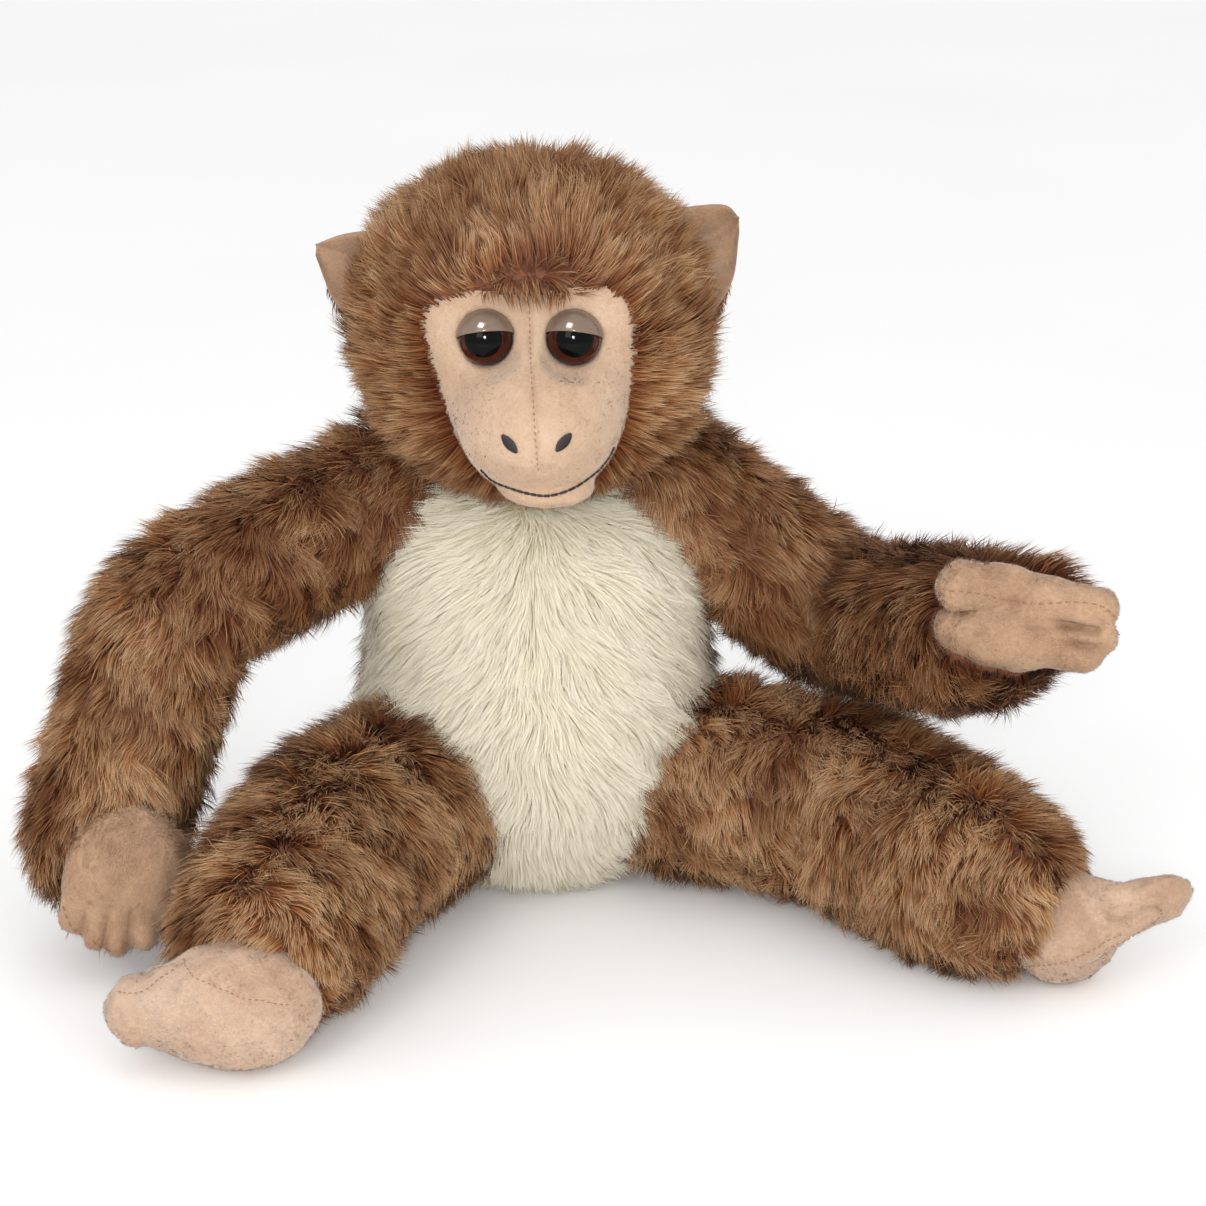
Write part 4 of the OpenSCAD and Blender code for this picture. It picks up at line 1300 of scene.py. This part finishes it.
def build_eye(side):
    eye, gaze = EYES[side], GAZE[side]

    def lid(p):
        q = p - eye
        shell = np.abs(np.linalg.norm(q, axis=1) - EYE_RADIUS - 0.4) - 0.32
        edge = 0.5 - q @ LID_EDGE[side]
        return smooth_max(smooth_max(shell, edge, 0.5), q[:, 1] - 3.5, 0.4)

    ball = arc(EYE_RADIUS, 0, 150, 60) + STEM
    cap = arc(EYE_RADIUS + 0.06, 0, PUPIL_ANGLE, 30)
    cap += arc(EYE_RADIUS - 0.05, PUPIL_ANGLE + 0.6, 0, 12)
    for part, profile, material, slot_name in (
        ("eyeball", ball, EYE_BROWN, "eye_brown"),
        ("pupil", cap, PUPIL_BLACK, "pupil_black"),
    ):
        node = f"{side}_{part}"
        verts, faces = revolve(profile, eye, gaze)
        skin(node, (verts, faces[:, ::-1]), material, "head", [node])
    node = side + "_eyelid"
    skin(node, surface(lid, eye - 9.6, eye + 9.6, CELL["eyelid"]), EYELID, "head",
         [node])
    washer = bpy.data.objects.get(side + "_eye_washer")
    if washer is not None:
        washer.data.materials.clear()
        washer.data.materials.append(WASHER)


for side in SIDES:
    build_eye(side)

# Outer and inner end of each nostril, across and up from the snout's middle
NOSTRILS = {"right": ([-9.6, 4.9], [-5.6, 0.4]), "left": ([9.0, 5.4], [5.0, 0.9])}
NOSTRIL_STITCHES = 19
for side, (outer, inner) in NOSTRILS.items():
    a, b = np.array(outer) + SNOUT[[0, 2]], np.array(inner) + SNOUT[[0, 2]]
    run = unit(b - a)
    cross_way = np.array([-run[1], run[0]])
    stitches = []
    for t in np.linspace(0.03, 0.97, NOSTRIL_STITCHES):
        mid = a + (b - a) * t
        half = 1.55 * math.sin(math.pi * t) ** 0.6
        ends = np.linspace(-half, half, 9)
        x, z = (mid + ends[:, None] * cross_way).T
        pts = onto_face(np.stack([x, np.full(len(ends), SNOUT[1] - 24), z], 1), 0.25)
        pts[:, 1] -= 0.35 * (1 - (ends / half) ** 2)
        stitches.append(thread(pts, 0.24))
    node = side + "_nostril"
    skin(node, joined(stitches), BLACK_THREAD, "head", [node])

stitches = []
MOUTH_POINTS, STITCH_POINTS = 240, 10
fine_lips = curve_through(mouth_line(30), MOUTH_POINTS)
for i in range(0, MOUTH_POINTS - STITCH_POINTS + 1, STITCH_POINTS):
    piece = fine_lips[i : i + STITCH_POINTS + 1]
    g = unit(gradient(face_shape, piece))
    stitches.append(thread(piece + g * 0.2, 0.38))
skin("mouth_stitch", joined(stitches), BLACK_THREAD, "head", ["mouth_stitch"])

# ---------- floor, light and camera ----------

FLOOR_CORNERS = [[x * 3000, y * 3000, 0] for x, y in ((-1, -1), (1, -1), (1, 1), (-1, 1))]
floor_grey = plain_material("floor", (249, 249, 249), 0.8, scale=3.0, depth=0.01)
floor = new_mesh("floor", FLOOR_CORNERS, [[0, 1, 2, 3]], floor_grey)

world = bpy.data.worlds.new("studio")
bpy.context.scene.world = world
world.use_nodes = True
world.node_tree.nodes["Background"].inputs["Color"].default_value = (1, 1, 1, 1)
world.node_tree.nodes["Background"].inputs["Strength"].default_value = 0.96
bpy.context.scene.view_settings.view_transform = "Standard"
bpy.context.scene.view_settings.look = "None"


def area_light(name, place, target, size, power):
    data = bpy.data.lights.new(name, "AREA")
    data.size = size
    data.energy = power
    obj = bpy.data.objects.new(name, data)
    obj.location = place
    obj.rotation_euler = (Vector(target) - Vector(place)).to_track_quat("-Z", "Y").to_euler()
    obj.visible_glossy = name != "fill"
    obj.visible_diffuse = "glint" not in name
    bpy.context.scene.collection.objects.link(obj)


area_light("key", (-0.45, -1.0, 0.75), (0, 0, 0.1), 0.5, 2.9)
area_light("fill", (0.7, -0.95, 0.5), (0, 0, 0.1), 0.9, 2.2)
area_light("front", (0.0, -1.0, 0.46), (0, 0, 0.12), 0.13, 3.0)
area_light("eye_glint", (-0.02, -1.0, 0.52), (0, 0, 0.15), 0.15, 8.0)
area_light("lid_glint", (-0.26, -0.46, 1.15), (0, 0, 0.15), 0.36, 11.0)

camera_data = bpy.data.cameras.new("camera")
camera_data.lens = 88.7
camera_data.sensor_width = 36.0
camera = bpy.data.objects.new("camera", camera_data)
camera.location = (0.020, -0.8457, 0.3898)
aim = Vector((0.020, 0.0, 0.082))
camera.rotation_euler = (aim - camera.location).to_track_quat("-Z", "Y").to_euler()
bpy.context.scene.collection.objects.link(camera)
bpy.context.scene.camera = camera
